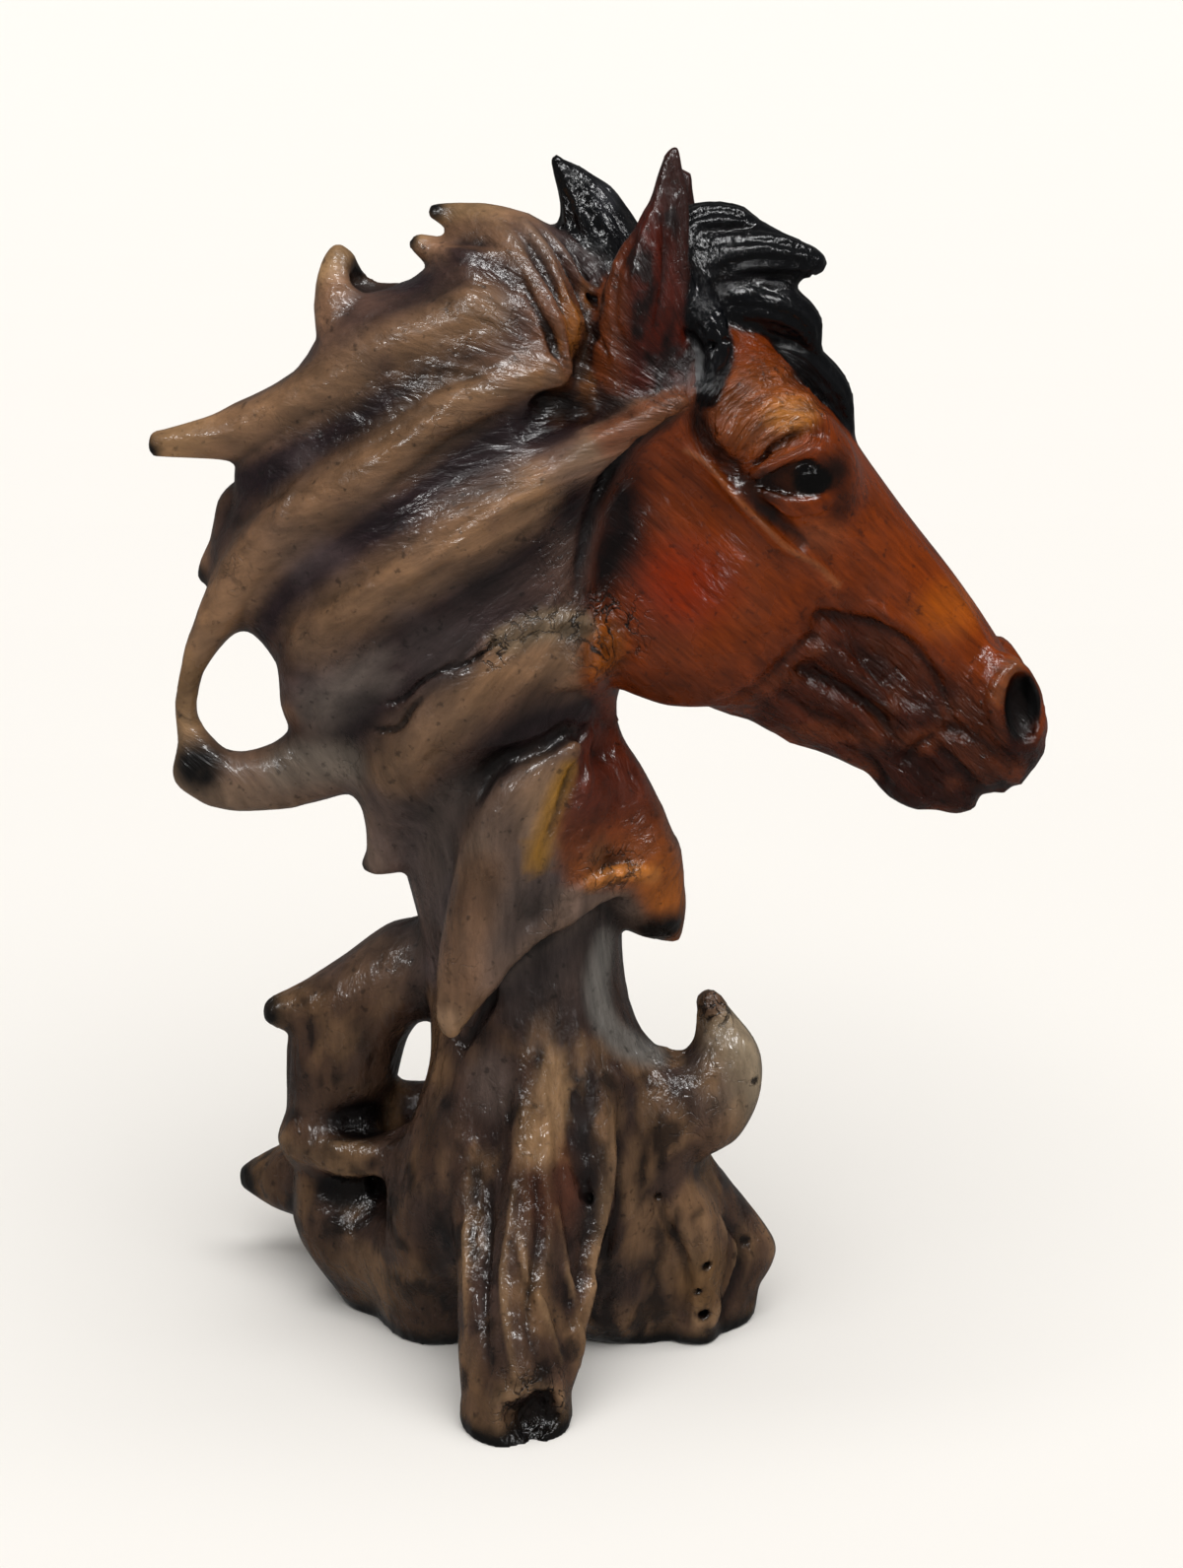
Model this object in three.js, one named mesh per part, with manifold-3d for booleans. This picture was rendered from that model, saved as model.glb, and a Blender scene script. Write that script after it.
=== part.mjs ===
// A driftwood horse head: one cast piece with a carved head, a mane of drifted points and a root for a base.
// It is modelled like clay: tapered strands and eggs are pressed together, others are gouged out, and the
// skin of that clay becomes one closed mesh, cut flat underneath.
// Millimetres, +Z up, the horse faces +X, its right side is -Y, and the floor is z = 0.
import * as THREE from "three";
import Module from "manifold-3d";

// Driving sizes
const HEIGHT = 331; // floor to ear tip
const REACH = { low: [-104, -84, -10], high: [150, 84, HEIGHT + 8] }; // block of clay that holds the work
const CELL = 2.5; // grid the clay is worked on
const FACETS = 9600; // triangles left in the finished skin
const FACE_CARE = 5; // how many times more a slip in the face matters than one in the wood
const FACE_FROM = { x: 40, z: 145 }; // the face lies in front of and above this

// The head has its own frame: along the nose from behind the eye, and up square to it towards the forehead
const HEAD_AT = [55, 240]; // x, z of that frame's origin, on the middle plane
const HEAD_PITCH = THREE.MathUtils.degToRad(43); // how far the nose points below the level

// Clay

/** A block of clay as a grid of distances to its skin, below zero inside. */
class Clay {
  constructor(low, high, cell) {
    this.low = low;
    this.cell = cell;
    this.size = low.map((a, i) => Math.ceil((high[i] - a) / cell) + 1);
    this.field = new Float32Array(this.size[0] * this.size[1] * this.size[2]).fill(1e3);
  }

  /** Works through the grid points inside a form's reach and lets `mix` set each new distance. */
  work(form, mix) {
    const first = form.low.map((a, i) => Math.max(0, Math.floor((a - this.low[i]) / this.cell)));
    const last = form.high.map((b, i) =>
      Math.min(this.size[i] - 1, Math.ceil((b - this.low[i]) / this.cell)));
    const point = [0, 0, 0];
    for (let k = first[2]; k <= last[2]; k++) {
      point[2] = this.low[2] + k * this.cell;
      for (let j = first[1]; j <= last[1]; j++) {
        point[1] = this.low[1] + j * this.cell;
        for (let i = first[0]; i <= last[0]; i++) {
          point[0] = this.low[0] + i * this.cell;
          const at = (k * this.size[1] + j) * this.size[0] + i;
          this.field[at] = mix(this.field[at], form.distance(point));
        }
      }
    }
  }

  /** Leaves the outermost layer of the grid bare, so that the skin closes inside the block. */
  trim() {
    const [nx, ny, nz] = this.size;
    const isEdge = (at, count) => at === 0 || at === count - 1;
    this.field.forEach((value, at) => {
      const [i, j, k] = [at % nx, Math.floor(at / nx) % ny, Math.floor(at / nx / ny)];
      if (isEdge(i, nx) || isEdge(j, ny) || isEdge(k, nz)) this.field[at] = Math.max(value, this.cell / 2);
    });
  }

  /** Presses a form on, with a fillet about `soft` wide. */
  add(form, soft = form.soft) {
    this.work(form.grown(soft), (had, got) => softLow(had, got, soft));
  }

  /** Gouges a form out, with a lip about `soft` wide. */
  cut(form, soft = form.soft) {
    this.work(form.grown(soft), (had, got) => -softLow(-had, got, soft));
  }
}

/** The lower of two distances, rounded where they meet. */
function softLow(a, b, soft) {
  const near = Math.max(soft - Math.abs(a - b), 0) / soft;
  return Math.min(a, b) - (near * near * soft) / 4;
}

/** A form is a distance function with the box it fills. */
class Form {
  constructor(low, high, distance, soft) {
    Object.assign(this, { low, high, distance, soft });
  }

  grown(by) {
    const [low, high] = [this.low.map((a) => a - by * 1.5), this.high.map((b) => b + by * 1.5)];
    return new Form(low, high, this.distance, this.soft);
  }
}

const STEPS_PER_KNOT = 6;

/** A tapered limb along a smooth line through [x, y, z, radius] knots; `deep` stretches it along Y. */
function strand(knots, { soft = 6, deep = 1 } = {}) {
  const middles = knots.map(([x, y, z]) => new THREE.Vector3(x, y, z));
  const line = new THREE.CatmullRomCurve3(middles, false, "centripetal");
  const steps = (knots.length - 1) * STEPS_PER_KNOT;
  const rings = [];
  for (let s = 0; s <= steps; s++) {
    const share = (s / steps) * (knots.length - 1);
    const knot = Math.min(Math.floor(share), knots.length - 2);
    const radius = THREE.MathUtils.lerp(knots[knot][3], knots[knot + 1][3], share - knot);
    rings.push([...line.getPoint(s / steps).toArray(), radius]);
  }
  const reach = Math.max(1, deep);
  const low = [0, 1, 2].map((i) => Math.min(...rings.map((r) => r[i] - r[3] * reach)));
  const high = [0, 1, 2].map((i) => Math.max(...rings.map((r) => r[i] + r[3] * reach)));
  return new Form(low, high, (p) => strandDistance(rings, deep, p), soft);
}

/** Distance from a point to the nearest of the tapered rods between neighbouring rings. */
function strandDistance(rings, deep, [x, y, z]) {
  let least = 1e3;
  for (let s = 1; s < rings.length; s++) {
    const from = rings[s - 1];
    const to = rings[s];
    const dx = to[0] - from[0];
    const dy = (to[1] - from[1]) / deep;
    const dz = to[2] - from[2];
    const px = x - from[0];
    const py = (y - from[1]) / deep;
    const pz = z - from[2];
    const along = (px * dx + py * dy + pz * dz) / (dx * dx + dy * dy + dz * dz);
    const share = Math.min(1, Math.max(0, along));
    const ox = px - share * dx;
    const oy = py - share * dy;
    const oz = pz - share * dz;
    const gap = Math.sqrt(ox * ox + oy * oy + oz * oz) - (from[3] + share * (to[3] - from[3]));
    if (gap < least) least = gap;
  }
  return least * Math.min(1, deep);
}

/** An egg with its own half-sizes, turned by `pitch` in the XZ plane, nose down. */
function egg([cx, cy, cz], [a, b, c], { soft = 8, pitch = 0 } = {}) {
  const reach = Math.max(a, c);
  const [cos, sin] = [Math.cos(pitch), Math.sin(pitch)];
  const distance = ([x, y, z]) => {
    const u = ((x - cx) * cos - (z - cz) * sin) / a;
    const v = (y - cy) / b;
    const w = ((x - cx) * sin + (z - cz) * cos) / c;
    const norm = Math.hypot(u, v, w);
    const slope = Math.hypot(u / a, v / b, w / c);
    return slope < 1e-9 ? -Math.min(a, b, c) : (norm * (norm - 1)) / slope;
  };
  return new Form([cx - reach, cy - b, cz - reach], [cx + reach, cy + b, cz + reach], distance, soft);
}

/** Head frame to part frame: along the nose, sideways, and up square to the nose. */
function onHead(along, side, rise) {
  const [cos, sin] = [Math.cos(HEAD_PITCH), Math.sin(HEAD_PITCH)];
  return [HEAD_AT[0] + along * cos + rise * sin, side, HEAD_AT[1] - along * sin + rise * cos];
}

const headStrand = (knots, options) => strand(knots.map(([s, y, h, r]) => [...onHead(s, y, h), r]), options);
const headEgg = (at, sizes, options) => egg(onHead(...at), sizes, { pitch: HEAD_PITCH, ...options });

/** Presses on, or gouges out, every strand of a named set. */
function addAll(clay, set, options) {
  for (const knots of Object.values(set)) clay.add(strand(knots, options));
}

function cutAll(clay, set, options) {
  for (const knots of Object.values(set)) clay.cut(strand(knots, options));
}

/** Does one job on the near side and its mirror image on the far side. */
function bothSides(job) {
  for (const side of [-1, 1]) job(side);
}

// Sculpture: every knot is [x, y, z, radius], or [along, y, rise, radius] on the head

/** Core of the neck, and on its near side the skirt of bark that hangs from it. */
function carveNeck(clay) {
  const core = [
    [24, 0, 250, 29], [2, 0, 222, 34], [-8, 0, 190, 31], [-6, 0, 160, 29], [-1, 0, 130, 28],
    [2, 0, 105, 24.5], [3, 2, 80, 25.5], [4, 6, 50, 28], [3, 15, 20, 33], [3, 15, -10, 35],
  ];
  clay.add(strand(core, { soft: 10, deep: 0.85 }));
  const breast = [
    [20, -4, 187, 5], [22, -5, 172, 7], [26, -6, 158, 11], [31, -7, 143, 13], [36, -6, 130, 10],
    [41, -5, 119, 4],
  ];
  clay.add(strand(breast, { soft: 5 }));
  const skirt = {
    left: [[6, -20, 166, 10], [3, -22, 150, 10], [-2, -24, 138, 8], [-8, -27, 120, 5]],
    right: [[16, -16, 162, 10], [15, -18, 150, 10], [12, -21, 139, 7]],
    tongue: [
      [14, -26, 178, 4], [1, -28, 168, 6], [-6, -28, 156, 7], [-11, -29, 134, 7.5], [-15, -30, 117, 6],
      [-18, -31, 102, 3],
    ],
  };
  addAll(clay, skirt, { soft: 7 });
  const hem = [
    [-14, -30, 108, 3], [-4, -28, 120, 3.5], [12, -25, 132, 3.5], [27, -19, 139, 4], [40, -8, 124, 3],
  ];
  clay.add(strand(hem, { soft: 4 }));
  const hollows = {
    underHem: [[2, -34, 112, 4], [16, -31, 121, 5], [30, -25, 126, 6], [38, -16, 115, 6], [38, 0, 110, 5]],
    crease: [[16, -34, 190, 2.5], [12, -34, 172, 3], [8, -35, 152, 3]],
  };
  cutAll(clay, hollows, { soft: 5 });
}

/** Sheet of the mane, the points along its edge, the loop, and the ridges over its near side. */
function carveMane(clay) {
  const sheets = {
    crown: [[26, 0, 284, 18], [12, 0, 292, 17], [0, 0, 300, 11], [-8, 0, 305, 6]],
    longPoint: [[20, 0, 262, 26], [-15, 0, 262, 20], [-45, 0, 261, 13], [-66, 0, 257, 8]],
    brokenPoint: [[-10, 0, 274, 18], [-26, 0, 281, 14], [-39, 0, 288, 9], [-44, 0, 299, 3]],
    back: [[10, 0, 240, 30], [-25, 0, 238, 23], [-55, 0, 236, 14], [-72, 0, 237, 7]],
    nub: [[-55, 0, 230, 13], [-73, 0, 225, 8], [-83, 1, 219, 3]],
    overLoop: [[0, 0, 215, 31], [-30, 0, 208, 21], [-52, 0, 207, 12], [-66, -2, 209, 7.5]],
    besideLoop: [[-4, -14, 226, 16], [-22, -16, 211, 15], [-40, -12, 197, 12], [-50, -7, 186, 9]],
    underLoop: [
      [-10, 0, 186, 27], [-32, -4, 178, 16], [-48, -6, 171, 11], [-66, -6, 164.5, 9], [-80, -6, 163.5, 7.5],
      [-87, -6, 166, 6],
    ],
  };
  addAll(clay, sheets, { soft: 9, deep: 0.85 });
  const ridges = {
    crown: [[-8, -3, 308, 6.5], [3, -10, 302, 9], [10, -20, 287, 8]],
    hook: [[-15, -6, 299, 5], [-11, -10, 293, 7], [-2, -18, 283, 8]],
    brokenPoint: [[-45, -2, 303, 2], [-45, -3, 294, 5], [-42, -6, 283, 8], [-26, -13, 278, 9]],
    longPoint: [
      [-93, -4, 254.5, 3.5], [-71, -5, 258, 6.5], [-48, -10, 269, 9], [-27, -15, 280, 10], [-10, -19, 289, 8],
    ],
    loop: [
      [10, -27, 276, 5], [-15, -26, 267, 8], [-34, -22, 251, 10], [-64, -13, 230, 8.5], [-77, -8, 212, 6],
      [-86.5, -7, 194, 3.6], [-88.5, -6, 181, 3.4], [-85, -6, 171, 4],
    ],
    cheekLock: [
      [42, -31, 269, 1.5], [30, -31, 263, 4], [6, -28, 248, 8], [-14, -27, 236, 10], [-42, -20, 216, 10],
      [-54, -12, 200, 8.5], [-55, -8, 188, 7.5],
    ],
    brokenLock: [
      [17, -25, 203, 9], [-3, -25, 198, 11], [-15, -24, 189, 11], [-26, -20, 178, 11], [-32, -14, 166, 9],
      [-34, -11, 155, 7], [-37, -8, 143, 5], [-43, -7, 139, 1.5],
    ],
  };
  addAll(clay, ridges, { soft: 7 });
  const beaks = {
    upper: [[-20, 0, 313.5, 2.4], [-10, -1, 310.5, 5.5], [2, -4, 305, 8]],
    lower: [[-25, -3, 306, 2.2], [-17.5, -4, 302, 5], [-12, -7, 295, 7]],
  };
  addAll(clay, beaks, { soft: 2 });
  const farRidges = {
    upper: [[24, 20, 286, 8], [-6, 20, 276, 10], [-40, 12, 264, 8]],
    middle: [[24, 22, 262, 9], [-10, 22, 250, 12], [-44, 16, 234, 10], [-64, 8, 214, 7]],
    lower: [[16, 24, 216, 10], [-14, 24, 196, 13], [-32, 16, 172, 10], [-24, 16, 140, 8]],
  };
  addAll(clay, farRidges, { soft: 8 });
  const hollows = {
    underLongPoint: [[-14, -32, 279, 4], [-32, -27, 266, 6], [-47, -22, 257, 4.5], [-64, -16, 247, 3]],
    overCheekLock: [[-16, -36, 256, 3], [-29, -35, 241, 5], [-39, -31, 229, 4], [-52, -25, 219, 3]],
    underBrokenLock: [[17, -37, 190, 3], [6, -37, 182, 5], [-7, -37, 174, 4], [-12, -36, 164, 3]],
    pitByTheEar: [[14, -37, 269, 4], [7, -37, 265, 5]],
    farUpper: [[10, 32, 272, 4], [-20, 30, 262, 6], [-46, 22, 248, 4]],
    farLower: [[6, 36, 232, 4], [-20, 34, 222, 6], [-44, 24, 202, 4]],
  };
  cutAll(clay, hollows, { soft: 6 });
  clay.cut(strand([[-42, -3, 298, 2], [-36, -3, 294, 3.5], [-29, -3, 292, 3]], { soft: 2 })); // broken point
}

/** Root that the neck grows out of: limbs round the foot of it, folds down them, hollows between them. */
function carveRoot(clay) {
  const limbs = {
    leftArch: [
      [-22, 8, 107, 12], [-42, 11, 94, 14], [-51, 12, 76, 16], [-54, 12, 60, 13], [-54, 11, 46, 12],
      [-50, 11, 26, 15], [-38, 14, 4, 15],
    ],
    leftPoint: [[-32, 10, 106, 11], [-47, 10, 96, 8.5], [-60, 9, 93, 6.5], [-69, 9, 91, 4.2]],
    ledge: [[-48, 17, 58, 9], [-30, 18, 57, 8], [-12, 14, 58, 10]],
    lip: [[-62, 4, 54, 7], [-48, -3, 53, 8], [-32, -6, 55, 8], [-18, -8, 64, 9]],
    leftToe: [[-52, 12, 28, 13], [-42, 5, 24, 14], [-26, 2, 22, 16], [-10, 0, 34, 18]],
    leftSole: [[-24, 8, 12, 17], [-22, 10, -8, 17]],
    leftLobe: [[-54, 34, 27, 15], [-70, 41, 25, 11], [-83, 46, 23, 5]],
    hook: [
      [16, -8, 70, 18], [34, -8, 68, 16], [50, -8, 71, 14.5], [57, -8, 82, 10.5], [55, -7, 93, 5.5],
      [52, -7, 100, 3.5],
    ],
    rightToe: [[26, 0, 52, 22], [42, 0, 36, 18], [54, 2, 17, 14], [52, 2, -8, 13]],
    rightSole: [[22, 2, 26, 20], [34, 4, 8, 20], [36, 4, -8, 20]],
    rightLobe: [[52, 6, 30, 11], [66, 4, 20, 7]],
  };
  addAll(clay, limbs, { soft: 7 });
  const buttresses = {
    foot: [
      [5, 0, 112, 19], [6, -7, 90, 22], [6, -19, 66, 21], [4, -33, 46, 17.5], [1, -47, 28, 15],
      [0, -56, 12, 14.5], [0, -60, -8, 14.5],
    ],
    leftWeb: [
      [-8, -10, 92, 10], [-18, -18, 64, 12], [-24, -18, 42, 13], [-26, -9, 18, 13], [-24, -4, -4, 12],
    ],
    rightWeb: [[20, -10, 84, 12], [25, -16, 62, 12], [25, -18, 40, 11], [25, -12, 14, 11]],
    heel: [[4, 10, 96, 16], [6, 26, 62, 20], [8, 42, 24, 20], [8, 47, -8, 22]],
    leftHeel: [[-12, 20, 50, 14], [-32, 34, 28, 16], [-42, 41, 8, 17], [-42, 43, -8, 18]],
    rightHeel: [[20, 14, 70, 16], [38, 26, 36, 17], [46, 32, 8, 16], [46, 33, -8, 16]],
  };
  addAll(clay, buttresses, { soft: 12 });
  const folds = {
    footLeft: [[-8, -8, 104, 3], [-12, -20, 80, 5], [-13, -33, 56, 5], [-11, -46, 36, 5], [-9, -56, 16, 4]],
    footMiddle: [
      [5, -8, 112, 4], [5, -25, 88, 5.5], [4, -37, 66, 6], [3, -47, 46, 6], [1, -58, 28, 5.5],
      [0, -68, 14, 4],
    ],
    footRight: [[16, -8, 104, 4], [22, -22, 78, 6], [21, -33, 56, 6.5], [16, -46, 36, 6], [12, -56, 16, 4]],
    rightFlap: [[34, -16, 56, 7], [46, -16, 38, 8], [49, -15, 20, 7], [50, -13, 4, 6]],
    heelLeft: [[-6, 24, 90, 5], [-10, 40, 56, 6], [-8, 56, 22, 6], [-8, 60, 2, 5]],
    heelRight: [[16, 24, 86, 5], [20, 42, 50, 6], [22, 58, 18, 6]],
  };
  addAll(clay, folds, { soft: 6 });
  const hollows = {
    upperCave: [[-50, -6, 65, 4], [-40, -6, 65, 6], [-28, -8, 67, 5]],
    lowerCave: [[-61, -4, 44, 4], [-51, -8, 40, 6.5], [-40, -10, 44, 5]],
    footLeft: [[-6, -30, 92, 3], [-7, -34, 74, 4.5], [-9, -42, 54, 4]],
    footMiddle: [[13, -32, 86, 3], [15, -38, 68, 4.5], [17, -46, 48, 4], [14, -56, 30, 3]],
    footRight: [[31, -26, 76, 4], [29, -31, 56, 4], [23, -42, 36, 4]],
    cup: [[30, -22, 118, 5], [26, -26, 106, 6], [29, -25, 95, 6], [38, -22, 89, 4]],
    heel: [[6, 44, 70, 3], [5, 62, 36, 5], [6, 70, 10, 4]],
  };
  cutAll(clay, hollows, { soft: 4 });
  clay.cut(egg([4, -75, 7], [8, 12, 8], { soft: 2 })); // broken end of the foot
}

/** Nasal beam, jaw, cheeks and brow. */
function carveSkull(clay) {
  const nose = [
    [-22, 0, 14, 27], [14, 0, 11.5, 22.5], [36, 0, 12, 18], [60, 0, 11.5, 15], [84, 0, 7, 14], [97, 0, 3, 13],
  ];
  clay.add(headStrand(nose, { soft: 10 }));
  const jaw = [[14, 0, -24, 26.5], [42, 0, -25.5, 14.5], [60, 0, -24, 10.5], [80, 0, -18.5, 9]];
  clay.add(headStrand(jaw, { soft: 12 }));
  const hollowOfCheek = [[36, 0, -6, 15], [60, 0, -7, 13], [84, 0, -6, 12]];
  clay.add(headStrand(hollowOfCheek, { soft: 9 }));
  bothSides((y) => {
    clay.add(headEgg([8, y * 14, -20], [33, 12, 34.5], { soft: 5 }));
    clay.add(headEgg([2, y * 18, 21], [20, 10, 14], { soft: 8 }));
    const crest = [
      [-20, y * 23, 5, 2.5], [4, y * 24, 4, 2.5], [20, y * 21.5, 4, 2.2], [36, y * 17, 3.5, 1.8],
    ];
    clay.add(headStrand(crest, { soft: 4 }));
  });
}

/** Eye in its socket, with a lid above and below and the brow over it. */
function carveEyes(clay) {
  const tilt = THREE.MathUtils.degToRad(10);
  bothSides((y) => {
    clay.cut(egg([74, y * 29, 250], [11, 5, 7], { soft: 3, pitch: tilt }));
    clay.add(egg([76, y * 21.5, 250.5], [8, 6.5, 7], { soft: 1, pitch: tilt }));
    const upper = [
      [59, y * 27.5, 248, 1.8], [66, y * 28, 255.5, 2.3], [75, y * 26.5, 258.5, 2.4], [84, y * 22.5, 252, 2],
    ];
    clay.add(strand(upper, { soft: 2.5 }));
    const lower = [
      [60, y * 27.5, 246.5, 1.8], [69, y * 27.5, 241.5, 2.2], [78, y * 25, 241, 2], [85, y * 22, 246, 1.6],
    ];
    clay.add(strand(lower, { soft: 2.5 }));
    const brow = [[54, y * 27, 259, 2.5], [66, y * 26.5, 264, 3], [78, y * 23, 263, 2.5]];
    clay.add(strand(brow, { soft: 4 }));
  });
}

/** Muzzle with its nostrils, lips and folds. */
function carveMuzzle(clay) {
  const lumps = {
    nose: [[96, 0, 2], [15, 15, 16], 8],
    upperLip: [[101, 0, -4], [9, 12, 11], 5],
    chin: [[90, 0, -20.5], [11, 10.5, 8.8], 4],
    lowerLip: [[101, 0, -16], [8, 9, 5.5], 4],
  };
  for (const [at, sizes, soft] of Object.values(lumps)) clay.add(headEgg(at, sizes, { soft }));
  const flare = THREE.MathUtils.degToRad(79);
  bothSides((y) => {
    const mouth = [[76, y * 15, -12, 1.5], [90, y * 14.5, -11, 2], [104, y * 10.5, -10, 2], [111, 0, -10, 2]];
    clay.cut(headStrand(mouth, { soft: 2 }));
    clay.add(egg([130.5, y * 11.5, 186.5], [14, 6.5, 9], { soft: 4, pitch: flare }));
    clay.cut(egg([134, y * 19, 186], [9.5, 8, 5], { soft: 2, pitch: flare }));
    const upperFold = [[42, y * 15, -9, 2.5], [60, y * 13, -9, 3], [78, y * 12.5, -6, 3]];
    clay.add(headStrand(upperFold, { soft: 5 }));
    const lowerFold = [[40, y * 13, -24, 2.5], [60, y * 11, -20, 3], [78, y * 10.5, -15, 2.5]];
    clay.add(headStrand(lowerFold, { soft: 5 }));
  });
}

/** Pricked ears with a groove up the front; the far one leans a little forward. */
function carveEars(clay) {
  bothSides((y) => {
    const lean = y > 0 ? 4 : 0;
    const shell = [
      [33, y * 19, 268, 11], [33, y * 20, 285, 11], [34, y * 21, 297, 10.5],
      [38 + lean, y * 21, 311 - lean, 6.5], [40.5 + lean, y * 20, 330 - 2 * lean, 2.2],
    ];
    clay.add(strand(shell, { soft: 5, deep: 0.8 }));
    const groove = [[39, y * 29, 282, 3], [40, y * 30, 300, 4], [41 + lean, y * 26, 320, 2]];
    clay.cut(strand(groove, { soft: 2.5 }));
  });
}

/** Wet locks over the forehead and the point of mane behind the ear. */
function carveForelock(clay) {
  const locks = {
    top: [[42, -4, 301, 9], [48, -5, 309.5, 7], [56, -4, 310, 6], [63, -4, 308, 3.5]],
    long: [[44, -7, 299, 10], [60, -8, 303, 7.5], [72, -7, 302, 5.5], [78, -6, 301, 3]],
    curl: [[50, -7, 292, 9], [64, -9, 291, 7.5], [74, -8, 286, 5.5], [77, -7, 279, 2.5]],
    low: [[58, -3, 284, 8], [72, -4, 277, 6.5], [83, -3, 268, 5], [87.5, -2, 258, 2]],
    beforeEar: [[44, -18, 294, 6], [51, -23, 284, 4.5], [49, -27, 270, 2]],
    farCurl: [[48, 10, 294, 9], [64, 13, 290, 7], [75, 14, 277, 4]],
    beforeFarEar: [[44, 18, 294, 8], [54, 24, 284, 6], [56, 26, 268, 3]],
  };
  addAll(clay, locks, { soft: 2.5 });
  const pointBehindEar = {
    front: [[30, 0, 290, 13], [22, 0, 308, 9], [17, 0, 318, 6], [10, 0, 327.5, 1.8]],
    back: [[26, 2, 306, 7], [23, 2, 318, 2.5]],
  };
  addAll(clay, pointBehindEar, { soft: 4 });
}

// Skin

// Corners of a grid cell as steps along x, y and z, its edges as pairs and its faces as rings of corners
const CORNERS = [0, 1, 2, 3, 4, 5, 6, 7].map((c) => [c & 1, (c >> 1) & 1, c >> 2]);
const EDGES = [];
for (const bit of [1, 2, 4]) for (let a = 0; a < 8; a++) if (!(a & bit)) EDGES.push([a, a | bit]);
const FACES = [[1, 2, 4], [2, 4, 1], [4, 1, 2]].flatMap(([u, v, w]) =>
  [0, w].map((side) => [side, side | u, side | u | v, side | v]));
const edgeBetween = (a, b) => EDGES.findIndex(([p, q]) => (p === a && q === b) || (p === b && q === a));
const FACE_EDGES = FACES.map((ring) => ring.map((a, n) => edgeBetween(a, ring[(n + 1) % 4])));

/** Sorts the crossed edges of a cell into sheets of skin, by which corners are inside; -1 is uncrossed. */
function sheetsOf(inside) {
  const sheet = EDGES.map(([a, b], e) => (((inside >> a) ^ (inside >> b)) & 1 ? e : -1));
  const join = (a, b) => {
    const [from, to] = [sheet[a], sheet[b]];
    sheet.forEach((s, e) => {
      if (s === from) sheet[e] = to;
    });
  };
  FACES.forEach((ring, f) => {
    const crossed = FACE_EDGES[f].filter((e) => sheet[e] >= 0);
    if (crossed.length === 2) join(...crossed);
    if (crossed.length === 4) {
      ring.forEach((corner, n) => {
        if ((inside >> corner) & 1) join(FACE_EDGES[f][n], FACE_EDGES[f][(n + 3) % 4]);
      });
    }
  });
  return sheet;
}
const SHEETS = Array.from({ length: 256 }, (_, inside) => sheetsOf(inside));

/** The clay's skin as a closed mesh: a vertex for each sheet in a cell, a quad round each crossed edge. */
function skinOf(clay) {
  const [nx, ny, nz] = clay.size;
  const index = (i, j, k) => (k * ny + j) * nx + i;
  const vertexOf = new Map();
  const points = [];
  const addVertices = (i, j, k) => {
    const values = CORNERS.map(([x, y, z]) => clay.field[index(i + x, j + y, k + z)]);
    const inside = values.reduce((bits, value, c) => bits | (value < 0 ? 1 << c : 0), 0);
    for (const sheet of new Set(SHEETS[inside])) {
      if (sheet < 0) continue;
      const sum = [0, 0, 0];
      const own = EDGES.keys().filter((e) => SHEETS[inside][e] === sheet).toArray();
      for (const e of own) {
        const [a, b] = EDGES[e];
        const share = values[a] / (values[a] - values[b]);
        for (let n = 0; n < 3; n++) sum[n] += CORNERS[a][n] + share * (CORNERS[b][n] - CORNERS[a][n]);
        vertexOf.set(index(i, j, k) * EDGES.length + e, points.length);
      }
      points.push([i, j, k].map((at, n) => clay.low[n] + (at + sum[n] / own.length) * clay.cell));
    }
  };
  for (let k = 0; k < nz - 1; k++) {
    for (let j = 0; j < ny - 1; j++) {
      for (let i = 0; i < nx - 1; i++) addVertices(i, j, k);
    }
  }
  const faces = [];
  const axes = [[1, 0, 0], [0, 1, 0], [0, 0, 1]];
  const addQuad = (i, j, k, n) => {
    const here = clay.field[index(i, j, k)] < 0;
    const there = clay.field[index(i + axes[n][0], j + axes[n][1], k + axes[n][2])] < 0;
    if (here === there) return;
    const [u, v] = [(n + 1) % 3, (n + 2) % 3];
    const quad = [[0, 0], [1, 0], [1, 1], [0, 1]].map(([s, t]) => {
      const cell = [i, j, k].map((at, axis) => at - s * axes[u][axis] - t * axes[v][axis]);
      const corner = (s << u) | (t << v);
      return vertexOf.get(index(...cell) * EDGES.length + edgeBetween(corner, corner | (1 << n)));
    });
    if (!here) quad.reverse();
    faces.push([quad[0], quad[1], quad[2]], [quad[0], quad[2], quad[3]]);
  };
  for (let k = 0; k < nz - 1; k++) {
    for (let j = 0; j < ny - 1; j++) {
      for (let i = 0; i < nx - 1; i++) axes.forEach((_, n) => addQuad(i, j, k, n));
    }
  }
  return { points, faces };
}

const LEAST_ALIKE = 0.3; // cosine of how far a face may turn when an edge is joined
const LEAST_WIDTH = 0.06; // width of a face for its length
const LEAST_BEND = 1e-3; // flatter places than this keep to the old edge

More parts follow.
